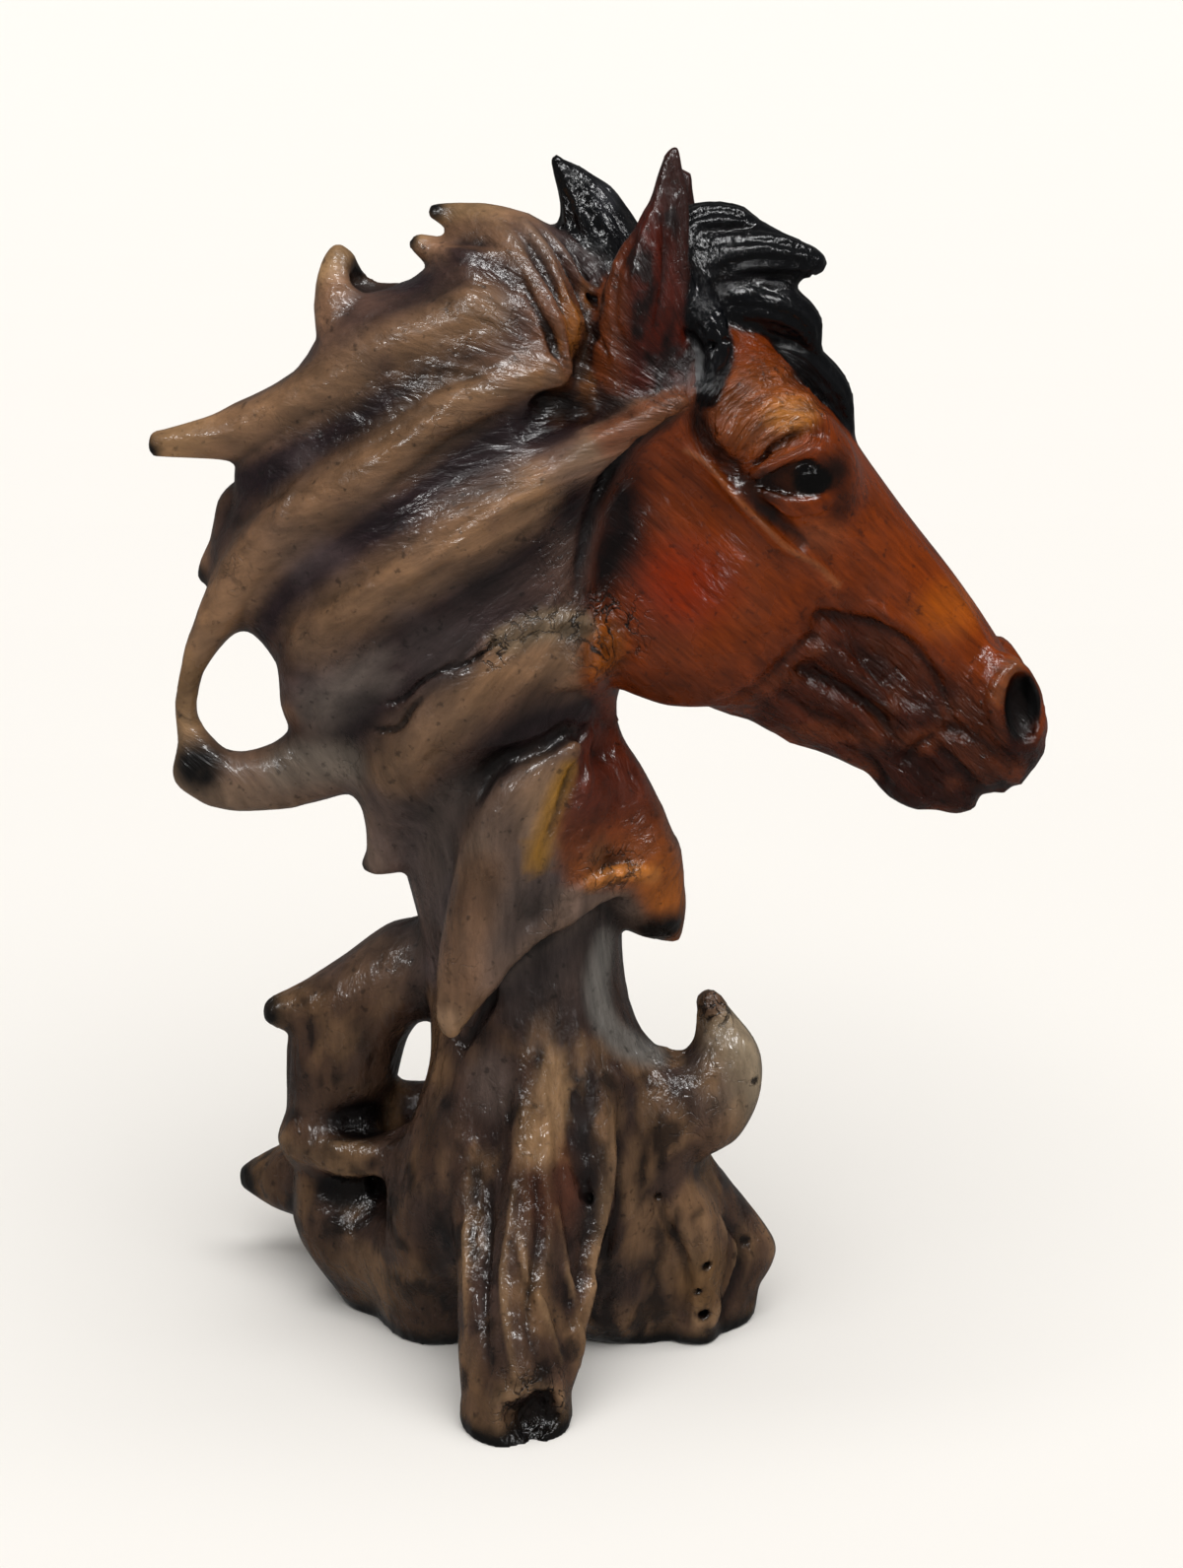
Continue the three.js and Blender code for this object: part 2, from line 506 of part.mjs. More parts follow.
/** Joins the vertices whose loss shows least, one edge at a time, until `count` triangles are left. */
function simplify({ points, faces }, count, careAt) {
  const quadrics = points.map(() => new Float64Array(10));
  const around = points.map(() => new Set());
  faces.forEach((face, f) => face.forEach((v) => around[v].add(f)));
  const cross = (a, b, c) => {
    const u = [b[0] - a[0], b[1] - a[1], b[2] - a[2]];
    const v = [c[0] - a[0], c[1] - a[1], c[2] - a[2]];
    return [u[1] * v[2] - u[2] * v[1], u[2] * v[0] - u[0] * v[2], u[0] * v[1] - u[1] * v[0]];
  };
  for (const face of faces) {
    const [a, b, c] = face.map((v) => points[v]);
    const n = cross(a, b, c);
    const area = Math.hypot(...n);
    if (area < 1e-9) continue;
    const [x, y, z] = n.map((value) => value / area);
    const d = -(x * a[0] + y * a[1] + z * a[2]);
    const weight = area * careAt(a);
    const plane = [x * x, x * y, x * z, x * d, y * y, y * z, y * d, z * z, z * d, d * d];
    for (const v of face) plane.forEach((value, i) => (quadrics[v][i] += value * weight));
  }
  const costAt = (q, [x, y, z]) =>
    q[0] * x * x + 2 * q[1] * x * y + 2 * q[2] * x * z + 2 * q[3] * x + q[4] * y * y + 2 * q[5] * y * z +
    2 * q[6] * y + q[7] * z * z + 2 * q[8] * z + q[9];
  const bestPlace = (q, a, b) => {
    const matrix = new THREE.Matrix3().set(q[0], q[1], q[2], q[1], q[4], q[5], q[2], q[5], q[7]);
    const middle = [0, 1, 2].map((i) => (a[i] + b[i]) / 2);
    const span = Math.hypot(a[0] - b[0], a[1] - b[1], a[2] - b[2]);
    const scale = (q[0] + q[4] + q[7]) / 3;
    if (Math.abs(matrix.determinant()) > LEAST_BEND * scale ** 3) {
      const solved = new THREE.Vector3(-q[3], -q[6], -q[8]).applyMatrix3(matrix.invert()).toArray();
      if (Math.hypot(...solved.map((s, i) => s - middle[i])) < span) return solved;
    }
    return [a, b, middle].reduce((best, p) => (costAt(q, p) < costAt(q, best) ? p : best));
  };

  const heap = [];
  const age = new Int32Array(points.length); // times a vertex has moved, or -1 once it is gone
  const push = (item) => {
    let at = heap.push(item) - 1;
    while (at > 0) {
      const up = (at - 1) >> 1;
      if (heap[up].cost <= heap[at].cost) break;
      [heap[up], heap[at]] = [heap[at], heap[up]];
      at = up;
    }
  };
  const pop = () => {
    const top = heap[0];
    const last = heap.pop();
    if (heap.length) {
      heap[0] = last;
      for (let at = 0; ;) {
        let low = at;
        for (const child of [2 * at + 1, 2 * at + 2]) {
          if (child < heap.length && heap[child].cost < heap[low].cost) low = child;
        }
        if (low === at) break;
        [heap[low], heap[at]] = [heap[at], heap[low]];
        at = low;
      }
    }
    return top;
  };
  const offer = (a, b) => {
    const q = quadrics[a].map((value, i) => value + quadrics[b][i]);
    const place = bestPlace(q, points[a], points[b]);
    push({ a, b, place, q, cost: costAt(q, place), ages: [age[a], age[b]] });
  };
  const ringOf = (v) => {
    const ring = new Set();
    for (const f of around[v]) for (const w of faces[f]) if (w !== v) ring.add(w);
    return ring;
  };
  points.forEach((_, v) => {
    for (const w of ringOf(v)) if (v < w) offer(v, w);
  });

  /** True if moving a corner of any face that stays would turn that face over or squeeze it flat. */
  const spoils = (v, other, place) => {
    for (const f of around[v]) {
      if (faces[f].includes(other)) continue;
      const before = faces[f].map((w) => points[w]);
      const after = faces[f].map((w) => (w === v ? place : points[w]));
      const n = cross(...before);
      const m = cross(...after);
      const alike = n[0] * m[0] + n[1] * m[1] + n[2] * m[2];
      const size = Math.hypot(...m);
      const longest = Math.max(...[0, 1, 2].map((i) =>
        Math.hypot(...after[i].map((value, axis) => value - after[(i + 1) % 3][axis]))));
      if (alike < LEAST_ALIKE * Math.hypot(...n) * size || size < LEAST_WIDTH * longest ** 2) return true;
    }
    return false;
  };

  let left = faces.length;
  while (left > count && heap.length) {
    const { a, b, place, q, ages } = pop();
    if (ages[0] !== age[a] || ages[1] !== age[b]) continue;
    const shared = [...around[a]].filter((f) => around[b].has(f));
    const ringA = ringOf(a);
    const common = [...ringOf(b)].filter((v) => ringA.has(v));
    if (shared.length !== 2 || common.length !== 2) continue;
    if (spoils(a, b, place) || spoils(b, a, place)) continue;
    for (const f of shared) {
      for (const v of faces[f]) around[v].delete(f);
      faces[f] = null;
      left--;
    }
    for (const f of around[b]) {
      faces[f] = faces[f].map((v) => (v === b ? a : v));
      around[a].add(f);
    }
    points[a] = place;
    quadrics[a] = q;
    age[a]++;
    age[b] = -1;
    for (const v of ringOf(a)) offer(a, v);
  }
  const kept = new Map();
  const finalFaces = faces.filter(Boolean).map((face) => face.map((v) => {
    if (!kept.has(v)) kept.set(v, kept.size);
    return kept.get(v);
  }));
  return { points: [...kept.keys()].map((v) => points[v]), faces: finalFaces };
}

// Solid

const wasm = await Module();
wasm.setup();

const solidOf = ({ points, faces }) => new wasm.Manifold(new wasm.Mesh({
  numProp: 3,
  vertProperties: new Float32Array(points.flat()),
  triVerts: new Uint32Array(faces.flat()),
}));

/** The block of space under the floor, which the work is cut flat against. */
function underFloor() {
  const wide = REACH.high[0] - REACH.low[0];
  const block = new THREE.BoxGeometry(2 * wide, 2 * wide, wide).translate(0, 0, -wide / 2);
  const place = block.getAttribute("position");
  const points = CORNERS.map(([x, y, z]) => [(x - 0.5) * 2 * wide, (y - 0.5) * 2 * wide, (z - 1) * wide]);
  const corner = (v) => CORNERS.findIndex(([x, y, z]) =>
    x === +(place.getX(v) > 0) && y === +(place.getY(v) > 0) && z === +(place.getZ(v) > -wide / 2));
  const faces = [];
  for (let i = 0; i < block.index.count; i += 3) {
    faces.push([0, 1, 2].map((n) => corner(block.index.array[i + n])));
  }
  return solidOf({ points, faces });
}

function geometryOf(solid) {
  const mesh = solid.getMesh();
  return new THREE.BufferGeometry()
    .setAttribute("position", new THREE.BufferAttribute(mesh.vertProperties, 3))
    .setIndex(new THREE.BufferAttribute(mesh.triVerts, 1));
}

function sculpture() {
  const clay = new Clay(REACH.low, REACH.high, CELL);
  for (const carve of [carveNeck, carveMane, carveRoot]) carve(clay);
  for (const carve of [carveSkull, carveMuzzle, carveEyes, carveEars, carveForelock]) carve(clay);
  clay.trim();
  const careAt = ([x, , z]) => (x > FACE_FROM.x && z > FACE_FROM.z ? FACE_CARE : 1);
  const skin = simplify(skinOf(clay), FACETS, careAt);
  const mesh = new THREE.Mesh(
    geometryOf(solidOf(skin).subtract(underFloor())),
    new THREE.MeshStandardMaterial({ color: 0x5a3a22, roughness: 0.3, metalness: 0 }),
  );
  mesh.name = "horse_head_sculpture";
  return mesh;
}

const part = new THREE.Group();
part.add(sculpture());

export default part;
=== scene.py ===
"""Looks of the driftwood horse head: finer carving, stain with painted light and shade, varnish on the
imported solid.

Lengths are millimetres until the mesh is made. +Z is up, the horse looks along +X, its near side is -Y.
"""
import math

import bpy
import numpy as np
import openvdb
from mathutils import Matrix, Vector


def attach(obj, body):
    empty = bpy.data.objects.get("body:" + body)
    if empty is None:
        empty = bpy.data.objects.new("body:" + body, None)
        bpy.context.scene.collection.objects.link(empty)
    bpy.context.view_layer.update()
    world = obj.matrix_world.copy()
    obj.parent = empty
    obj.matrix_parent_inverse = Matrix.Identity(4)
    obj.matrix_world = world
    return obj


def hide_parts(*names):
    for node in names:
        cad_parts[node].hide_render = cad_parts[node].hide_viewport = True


NODE = "horse_head_sculpture"
SLOT = "varnished_driftwood"
MM = 0.001

VOXEL = 1.0  # grid of the fine clay
BAND = 7  # voxels of distance kept on each side of the skin
MARGIN = 10  # voxels of air round the solid
FAR = 1e3  # gap of what is not there
TINY = 1e-9
PATCH_STEPS = 4  # small triangles along the edge of a packed one
TRIANGLES = 192000

HEAD_AT = (55, 240)  # x and z of the middle of the head
HEAD_PITCH = math.radians(43)


# Numbers and curves

def unit(vectors):
    return vectors / np.maximum(np.linalg.norm(vectors, axis=-1, keepdims=True), TINY)


def ramp(value, low, high):
    """Smooth step from 0 at low to 1 at high; low may be the larger of the two."""
    t = np.clip((value - low) / (high - low), 0, 1)
    return t * t * (3 - 2 * t)


def curve(knots, steps=6):
    """Smooth path through the knots, with the radius where each knot carries one."""
    k = np.asarray(knots, float)
    k = np.vstack([2 * k[0] - k[1], k, 2 * k[-1] - k[-2]])
    t = np.linspace(0, 1, steps, endpoint=False)[:, None]
    spans = []
    for a, b, c, d in zip(k, k[1:], k[2:], k[3:]):
        bend = a - 2.5 * b + 2 * c - d / 2
        twist = 1.5 * b - a / 2 - 1.5 * c + d / 2
        spans.append(b + t * (c - a) / 2 + t**2 * bend + t**3 * twist)
    return np.vstack(spans + [k[-2:-1]])


def tube_gap(points, a, b):
    """How far points are outside the tapered tube between two knots of x, y, z, radius."""
    line = b[:3] - a[:3]
    t = np.clip((points - a[:3]) @ line / max(line @ line, TINY), 0, 1)
    return np.linalg.norm(points - a[:3] - t[..., None] * line, axis=-1) - a[3] - t * (b[3] - a[3])


def gap_to(points, knots):
    """How far points are from a path of knots, or outside the tube along it."""
    path = curve(knots)
    if path.shape[1] == 3:
        path = np.hstack([path, np.zeros((len(path), 1))])
    return np.min([tube_gap(points, a, b) for a, b in zip(path, path[1:])], axis=0)


def lattice(values, at):
    """Trilinear value of a grid at fractional indices, repeating past its ends."""
    base = np.floor(at).astype(int)
    share = at - base
    total = 0
    for corner in np.ndindex(2, 2, 2):
        weight = np.prod(np.where(corner, share, 1 - share), axis=-1)
        i, j, k = ((base + corner) % values.shape).T
        total = total + weight * values[i, j, k]
    return total


NOISE = np.random.default_rng(7).random((40, 40, 40))
COARSE_SHIFT, FINE_SHIFT = 11.3, 5.7  # keep the two layers of noise from lining up
FINE_RATE = 2.1
FINE_SHARE = 0.35


def noise(points, size):
    """Soft random value from 0 to 1 with lumps of that size, as one number or one for each axis."""
    coarse = lattice(NOISE, points / size + COARSE_SHIFT)
    fine = lattice(NOISE, points / size * FINE_RATE + FINE_SHIFT)
    return coarse * (1 - FINE_SHARE) + fine * FINE_SHARE


# Clay

class Clay:
    """Solid held as distances to its skin on a grid."""

    def __init__(self, points, triangles):
        self.grid = openvdb.FloatGrid.createLevelSetFromPolygons(
            points.astype(np.float32),
            triangles=triangles.astype(np.uint32),
            transform=openvdb.createLinearTransform(voxelSize=VOXEL),
            halfWidth=BAND,
        )
        self.low = np.floor(points.min(0) / VOXEL).astype(int) - MARGIN
        size = np.ceil(points.max(0) / VOXEL).astype(int) + MARGIN - self.low
        self.field = np.zeros(size, np.float32)
        self.grid.copyToArray(self.field, ijk=tuple(int(n) for n in self.low))
        self.form = np.full(size, FAR, np.float32)

    def window(self, points, reach):
        """Part of the grid round some points, as slices and as the place of each voxel."""
        low = np.floor((points.min(0) - reach) / VOXEL).astype(int) - self.low
        high = np.ceil((points.max(0) + reach) / VOXEL).astype(int) + 1 - self.low
        low, high = np.clip(low, 0, self.field.shape), np.clip(high, 0, self.field.shape)
        part = tuple(slice(a, b) for a, b in zip(low, high))
        places = np.stack(np.meshgrid(*(np.arange(a, b) for a, b in zip(low, high)), indexing="ij"), -1)
        return part, (places + self.low) * VOXEL

    def press(self, part, soft, sign):
        """Joins the form to the clay, or cuts it out where sign is -1, with a fillet of that size."""
        clay, form = sign * self.field[part], self.form[part]
        fillet = np.maximum(soft - np.abs(clay - form), 0)
        self.field[part] = sign * (np.minimum(clay, form) - fillet * fillet / (4 * soft))
        self.form[part] = FAR

    def tube(self, path, soft, sign=1):
        reach = path[:, 3].max() + soft + 2 * VOXEL
        for a, b in zip(path, path[1:]):
            part, places = self.window(np.array([a[:3], b[:3]]), reach)
            self.form[part] = np.minimum(self.form[part], tube_gap(places, a, b))
        self.press(self.window(path[:, :3], reach)[0], soft, sign)

    def egg(self, centre, half, soft, sign=1, pitch=0.0):
        """Ellipsoid of three half sizes, its first axis tipped down by the pitch."""
        centre = np.array(centre, float)
        part, places = self.window(centre[None], max(half) + soft + 2 * VOXEL)
        d = places - centre
        cos, sin = math.cos(pitch), math.sin(pitch)
        x, y, z = np.moveaxis(d, -1, 0)
        turned = np.stack([x * cos - z * sin, y, x * sin + z * cos], -1)
        inner = np.linalg.norm(turned / half, axis=-1)
        slope = np.linalg.norm(turned / np.square(half), axis=-1)
        self.form[part] = inner * (inner - 1) / np.maximum(slope, TINY)
        self.press(part, soft, sign)

    def gap(self, points):
        return lattice(self.field, points / VOXEL - self.low)

    def normal(self, points):
        steps = np.eye(3) * VOXEL
        return unit(np.stack([self.gap(points + s) - self.gap(points - s) for s in steps], -1))

    def snap(self, points):
        """The same points moved onto the skin."""
        for _ in range(4):
            points = points - self.gap(points)[:, None] * self.normal(points)
        return points

    def stroke(self, knots, width, height, soft=1.0):
        """Ridge along the skin that dies out at both ends, or a groove where the height is negative."""
        skin = self.snap(curve(knots))
        fade = np.sin(np.pi * np.linspace(0.1, 0.9, len(skin)))
        radius = width / 2 * (0.4 + 0.6 * fade)
        sign = 1 if height > 0 else -1
        lift = height * fade - sign * radius
        self.tube(np.column_stack([skin + self.normal(skin) * lift[:, None], radius]), soft, sign)

    def strokes(self, paths, width, height, soft=1.0):
        for knots in paths:
            self.stroke(knots, width, height, soft)

    def skin(self):
        """Points and faces of the skin."""
        self.grid.copyFromArray(self.field, ijk=tuple(int(n) for n in self.low))
        points, _, quads = self.grid.convertToPolygons()
        halves = np.vstack([quads[:, [2, 1, 0]], quads[:, [3, 2, 0]]])
        return points, [tuple(half) for half in halves.tolist()]


def blurred(field, size):
    """The field softened over that size: at the skin it is above 0 on ridges and below 0 in hollows."""
    half = max(1, round(size / VOXEL))
    for axis in (0, 1, 2, 0, 1, 2):
        edges = [(half + 1, half) if n == axis else (0, 0) for n in range(3)]
        sums = np.cumsum(np.pad(field, edges, mode="edge"), axis=axis, dtype=np.float64)
        first = np.arange(field.shape[axis])
        window = np.take(sums, first + 2 * half + 1, axis=axis) - np.take(sums, first, axis=axis)
        field = (window / (2 * half + 1)).astype(np.float32)
    return field


def packed_mesh(frame):
    """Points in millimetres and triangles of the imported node, with its split corners joined."""
    mesh = frame["nodes"][NODE].data
    mesh.calc_loop_triangles()
    points = np.zeros(len(mesh.vertices) * 3)
    mesh.vertices.foreach_get("co", points)
    triangles = np.zeros(len(mesh.loop_triangles) * 3, int)
    mesh.loop_triangles.foreach_get("vertices", triangles)
    points, index = np.unique(np.round(points.reshape(-1, 3) / MM, 4), axis=0, return_inverse=True)
    return points, index.reshape(-1)[triangles].reshape(-1, 3)


def rounded_mesh(points, triangles):
    """Each flat triangle as a curved patch that meets its corners at the skin's own slope."""
    corner = points[triangles]
    face = np.cross(corner[:, 1] - corner[:, 0], corner[:, 2] - corner[:, 0])
    slope = np.stack(
        [np.bincount(triangles.ravel(), np.repeat(face[:, n], 3), len(points)) for n in range(3)], -1
    )
    slope = unit(slope)[triangles]

    def edge(a, b):
        """Handle of the patch's edge from corner a, a third of the way to corner b."""
        rise = ((corner[:, b] - corner[:, a]) * slope[:, a]).sum(-1, keepdims=True)
        return (2 * corner[:, a] + corner[:, b] - rise * slope[:, a]) / 3

    pairs = [(0, 1), (1, 0), (1, 2), (2, 1), (2, 0), (0, 2)]
    handles = {pair: edge(*pair) for pair in pairs}
    middle = sum(handles.values()) / 4 - corner.sum(1) / 6
    n = PATCH_STEPS
    index = {}
    sheets = []
    for i in range(n + 1):
        for j in range(n + 1 - i):
            share = (1 - (i + j) / n, i / n, j / n)
            patch = 6 * share[0] * share[1] * share[2] * middle
            for c in range(3):
                patch = patch + share[c] ** 3 * corner[:, c]
            for a, b in pairs:
                patch = patch + 3 * share[a] ** 2 * share[b] * handles[a, b]
            index[i, j] = len(sheets)
            sheets.append(patch)
    small = [(index[i, j], index[i + 1, j], index[i, j + 1]) for i in range(n) for j in range(n - i)]
    small += [
        (index[i + 1, j], index[i + 1, j + 1], index[i, j + 1])
        for i in range(n - 1)
        for j in range(n - 1 - i)
    ]
    whole = np.concatenate(sheets)
    count = len(triangles)
    faces = np.concatenate([np.arange(count)[:, None] + np.array(t)[None] * count for t in small])
    return whole, faces


# Fine carving: every knot is (x, y, z) or (x, y, z, radius), with y for the near side

def mirrored(knots, side):
    """Knots of the near side, or the same on the far side."""
    knots = np.array(knots, float)
    knots[:, 1] *= -side
    return knots


def carve_eye(clay, side):
    """Eyeball in its socket, lids round it, and the wrinkles above and below."""
    tilt = math.radians(8)
    clay.egg((72, side * 31, 249.5), (14, 6.5, 8), 3, -1, tilt)
    clay.egg((72.5, side * 19, 249.5), (13, 9.6, 9.5), 0.6, 1, tilt)
    upper = [
        (58, -27.5, 247.5, 1.0), (63, -28.6, 251.5, 1.8), (69, -28.9, 255.2, 2.3), (75.5, -27.6, 256.4, 2.3),
        (81, -25, 252.5, 2), (84.5, -22.5, 247, 1.2),
    ]
    lower = [
        (58.5, -27.6, 247, 1.0), (64, -28.3, 244.8, 1.6), (71, -28.2, 243.2, 1.8), (78, -26.2, 243.4, 1.7),
        (84, -22.8, 246.5, 1.2),
    ]
    for lid in (upper, lower):
        clay.tube(curve(mirrored(lid, side)), 1.2)
    folds = [
        [(57, -27, 251), (62, -29, 254.5), (68, -29, 259.5), (75, -28, 261), (81, -26, 257)],
        [(58, -28, 256), (63, -29, 261), (69, -29, 264), (76, -27, 263), (82, -25, 258)],
        [(56, -29, 259), (61, -29, 264), (67, -27, 267), (75, -25, 266.5)],
        [(62, -28, 242), (69, -28, 239.5), (77, -26, 239.5), (83, -24, 243)],
    ]
    clay.strokes([mirrored(k, side) for k in folds], 2, -1.4, 0.8)
    bags = [
        [(60, -29, 253.5), (65, -29, 258), (71, -29, 262.5), (78, -27, 262)],
        [(60, -28, 244), (66, -28, 241), (74, -27, 240.5), (81, -25, 242.5)],
    ]
    clay.strokes([mirrored(k, side) for k in bags], 2.4, 1.1)


def carve_face(clay, side):
    """Edge of the cheek, veins down the nose, folds of the jaw and mouth, nostril."""
    crest = [
        (42, -27, 257), (49, -26, 253), (56, -27, 245), (63, -26, 238), (70, -24, 231), (78, -22, 226),
        (84, -20, 220),
    ]
    clay.stroke(mirrored(crest, side), 2.6, 1.5)
    above_crest = [
        (46, -27, 268), (48, -27, 260), (53, -27, 254), (59, -27, 247), (66, -26, 240), (74, -24, 232),
    ]
    clay.stroke(mirrored(above_crest, side), 5, -2.2, 2)
    veins = [
        [(91, -18, 231), (95, -17, 220), (98, -15, 208)],
        [(83, -21, 226), (92, -19, 214), (104, -16, 206), (113, -15, 196)],
        [(108, -9, 227), (120, -9, 211), (128, -12, 201)],
    ]
    clay.strokes([mirrored(k, side) for k in veins], 2.6, 0.7, 1.5)
    folds = [
        [(80, -18, 216), (79, -18, 208), (73, -19, 202), (66, -19, 195), (55, -18, 188)],
        [(79, -18, 212), (88, -17, 210), (99, -15, 207), (106, -15, 202), (114, -14, 189), (116, -15, 181)],
        [(79, -18, 206), (89, -15, 200), (100, -16, 189), (105, -15, 180)],
        [(75, -15, 197), (84, -13, 192), (93, -14, 186), (101, -14, 176)],
        [(70, -14, 190), (80, -12, 185), (90, -12, 179), (97, -11, 173)],
        [(104, -11, 171), (109, -13, 176), (117, -14, 172), (124, -10, 165), (131, -6, 161)],
        [(88, -9, 174), (94, -9, 171), (97, -7, 165), (99, -6, 160)],
        [(111, -13, 178), (118, -15, 180), (126, -16, 175), (132, -14, 171)],
    ]
    trough = [(84, -17, 209), (93, -16, 202), (102, -16, 192), (109, -15, 181)]
    clay.stroke(mirrored(trough, side), 9, -1.4, 3)
    clay.strokes([mirrored(k, side) for k in folds], 3.6, -1.2, 2.5)
    swells = [
        [(78, -18, 214), (90, -18, 212), (102, -17, 207), (111, -16, 197), (117, -15, 184)],
        [(78, -16, 203), (89, -15, 198), (99, -16, 187), (105, -15, 177)],
        [(74, -14, 194), (84, -13, 189), (94, -13, 182), (101, -12, 173)],
        [(107, -13, 173), (113, -14, 176), (121, -13, 171), (128, -9, 165)],
    ]
    clay.strokes([mirrored(k, side) for k in swells], 4, 1.3, 1.5)
    flare = math.radians(79)
    clay.egg((134.5, side * 17, 186), (10.8, 8.5, 4.8), 1, -1, flare)
    rim = [(133, -14, 199), (128.5, -16, 195), (126, -17, 188), (127.5, -17, 180), (132, -16, 174)]
    clay.stroke(mirrored(rim, side), 4.2, 1.3)
    inner_rim = [(136, -9, 196), (140, -9, 189), (140, -9, 182), (137, -11, 175)]
    clay.stroke(mirrored(inner_rim, side), 3.5, 1.2)


def carve_ear(clay, side):
    """Grooves and rims up the ear."""
    ribs = [
        [(40, -21, 324), (38, -25, 312), (38, -27, 299), (36, -28, 286)],
        [(33, -23, 314), (28, -25, 302), (26, -26, 290), (29, -27, 280)],
    ]
    clay.strokes([mirrored(k, side) for k in ribs], 2.2, -1.2)
    rims = [
        [(40, -19, 327), (42.5, -22, 314), (43, -25, 299), (43, -26, 286)],
        [(36, -24, 318), (32, -26, 306), (31, -28, 292), (33, -28, 280)],
    ]
    clay.strokes([mirrored(k, side) for k in rims], 2.2, 0.9)


LOCKS = {
    "top": [(42, -4, 301, 9), (48, -5, 309.5, 7), (56, -4, 310, 6), (63, -4, 308, 3.5)],
    "long": [(44, -7, 299, 10), (60, -8, 303, 7.5), (72, -7, 302, 5.5), (78, -6, 301, 3)],
    "curl": [(50, -7, 292, 9), (64, -9, 291, 7.5), (74, -8, 286, 5.5), (77, -7, 279, 2.5)],
    "low": [(58, -3, 284, 8), (72, -4, 277, 6.5), (83, -3, 268, 5), (87.5, -2, 258, 2)],
    "before_ear": [(44, -18, 294, 6), (51, -23, 284, 4.5), (49, -27, 270, 2)],
    "far_curl": [(48, 10, 294, 9), (64, 13, 290, 7), (75, 14, 277, 4)],
    "before_far_ear": [(44, 18, 294, 8), (54, 24, 284, 6), (56, 26, 268, 3)],
    "behind_ear": [(29, 0, 296, 10), (22, 0, 308, 9), (17, 0, 318, 6), (10, 0, 327.5, 1.8)],
}


def carve_locks(clay):
    """Strands of wet hair along each lock."""
    for knots in LOCKS.values():
        path = curve(knots)[2:]
        along = unit(np.gradient(path[:, :3], axis=0))
        across = unit(np.cross(along, (0.0, 1.0, 0.0)))
        out = np.cross(along, across)
        for turn in np.radians([10, 52, 94, 128, 170, 215, 265, 310]):
            aside = across * math.cos(turn) + out * math.sin(turn)
            clay.stroke(path[::3, :3] + aside[::3] * path[::3, 3:], 1.7, -1.0, 0.8)


def fill_valleys(clay, corners, size, drop, where):
    """Fills the narrow valleys inside a box, so that the ridges rise out of one sheet."""
    part, places = clay.window(np.array(corners), 0)
    field = clay.field[part]
    filled = np.minimum(field, blurred(field, size) - drop)
    clay.field[part] = field + (filled - field) * where(*np.moveaxis(places, -1, 0))


def in_mane(x, y, z):
    return ramp(z, 168, 182) * ramp(x + 0.25 * (z - 230), 22, 6)


def in_foot(x, y, z):
    return ramp(z, 110, 98) * ramp(z, 3, 12) * ramp(x, -30, -22) * ramp(x, 50, 40) * ramp(y, 0, -8)


def carve_mane(clay):
    """Sharp edges, hair, cracks and hollows over the near side of the mane."""
    edges = [
        [(42, -32, 269), (30, -34, 264), (18, -35, 257), (5, -36, 247), (-10, -37, 237), (-27, -34, 224)],
        [(-2, -29, 272), (-15, -29, 268), (-30, -26, 255), (-48, -20, 243), (-62, -15, 232)],
    ]
    clay.strokes(edges, 3.2, 1.0, 2)
    hair = [
        [(-1, -11, 312), (6, -19, 304), (11, -24, 294), (15, -26, 284)],
        [(5, -10, 312), (13, -16, 303), (18, -18, 294), (20, -22, 284)],
        [(2, -20, 299), (7, -26, 290), (11, -29, 282), (15, -29, 275)],
        [(11, -9, 309), (18, -13, 300), (22, -20, 289), (24, -25, 279)],
    ]
    clay.strokes(hair, 2.6, -2.2)
    between = [[(x + 3.5, y, z) for x, y, z in knots] for knots in hair]
    clay.strokes(between, 2.2, 1.4)
    under_lock = [(43, -30, 266), (32, -29, 258), (23, -28, 245), (18, -28, 231), (16, -28, 221)]
    clay.stroke(under_lock, 4.5, -2.4, 2)
    clay.stroke([(18, -16, 182), (6, -28, 179), (-6, -28, 173), (-11, -29, 165)], 5, -2.5, 2)
    rim = [(18, -28, 211), (10, -30, 212.5), (2, -31, 211), (-5, -33, 205)]
    clay.stroke(rim, 3, 1.8)
    cracks = [
        [(-35, -23, 190), (-28, -27, 192), (-23, -29, 197), (-14, -31, 203), (-7, -31, 210)],
        [(-38, -21, 183), (-31, -29, 184), (-26, -30, 190), (-21, -31, 195)],
        [(-18, -31, 199), (-9, -31, 203), (-3, -31, 209)],
    ]
    clay.strokes(cracks, 1.6, -1.6, 0.6)
    clay.egg((13, -27, 267), (8, 6, 4.5), 2, -1)
    clay.egg((-37, -3, 296), (6, 5, 2.5), 2, -1)


def carve_neck(clay):
    """Crease and lip of the breast, and the edge of the skirt of bark."""
    clay.stroke([(19, -15, 184), (16, -24, 177), (14, -28, 170), (10, -30, 158), (7, -31, 150)], 1.8, -1.2)
    clay.stroke([(17, -16, 187), (20, -18, 178), (19, -24, 168), (15, -28, 156)], 2.4, 1.0)
    clay.stroke([(12, -27, 138), (20, -26, 141), (28, -22, 143), (36, -18, 141)], 3.5, 1.8)
    under = [(-24, -22, 100), (-19, -27, 94), (-13, -25, 98), (-8, -25, 107), (0, -28, 117), (10, -24, 124)]
    clay.stroke(under, 4, -2.4)
    rim = [(-8, -35, 148), (-14, -36, 130), (-19, -34, 113), (-20, -30, 102)]
    clay.stroke(rim, 2.6, 0.9, 2)


PITS = [(52, -21, 27, 1.3), (50, -21, 19, 1.0), (51.5, -19, 11, 1.6), (64, -8, 27, 1.5), (65, -16, 80, 1.0)]


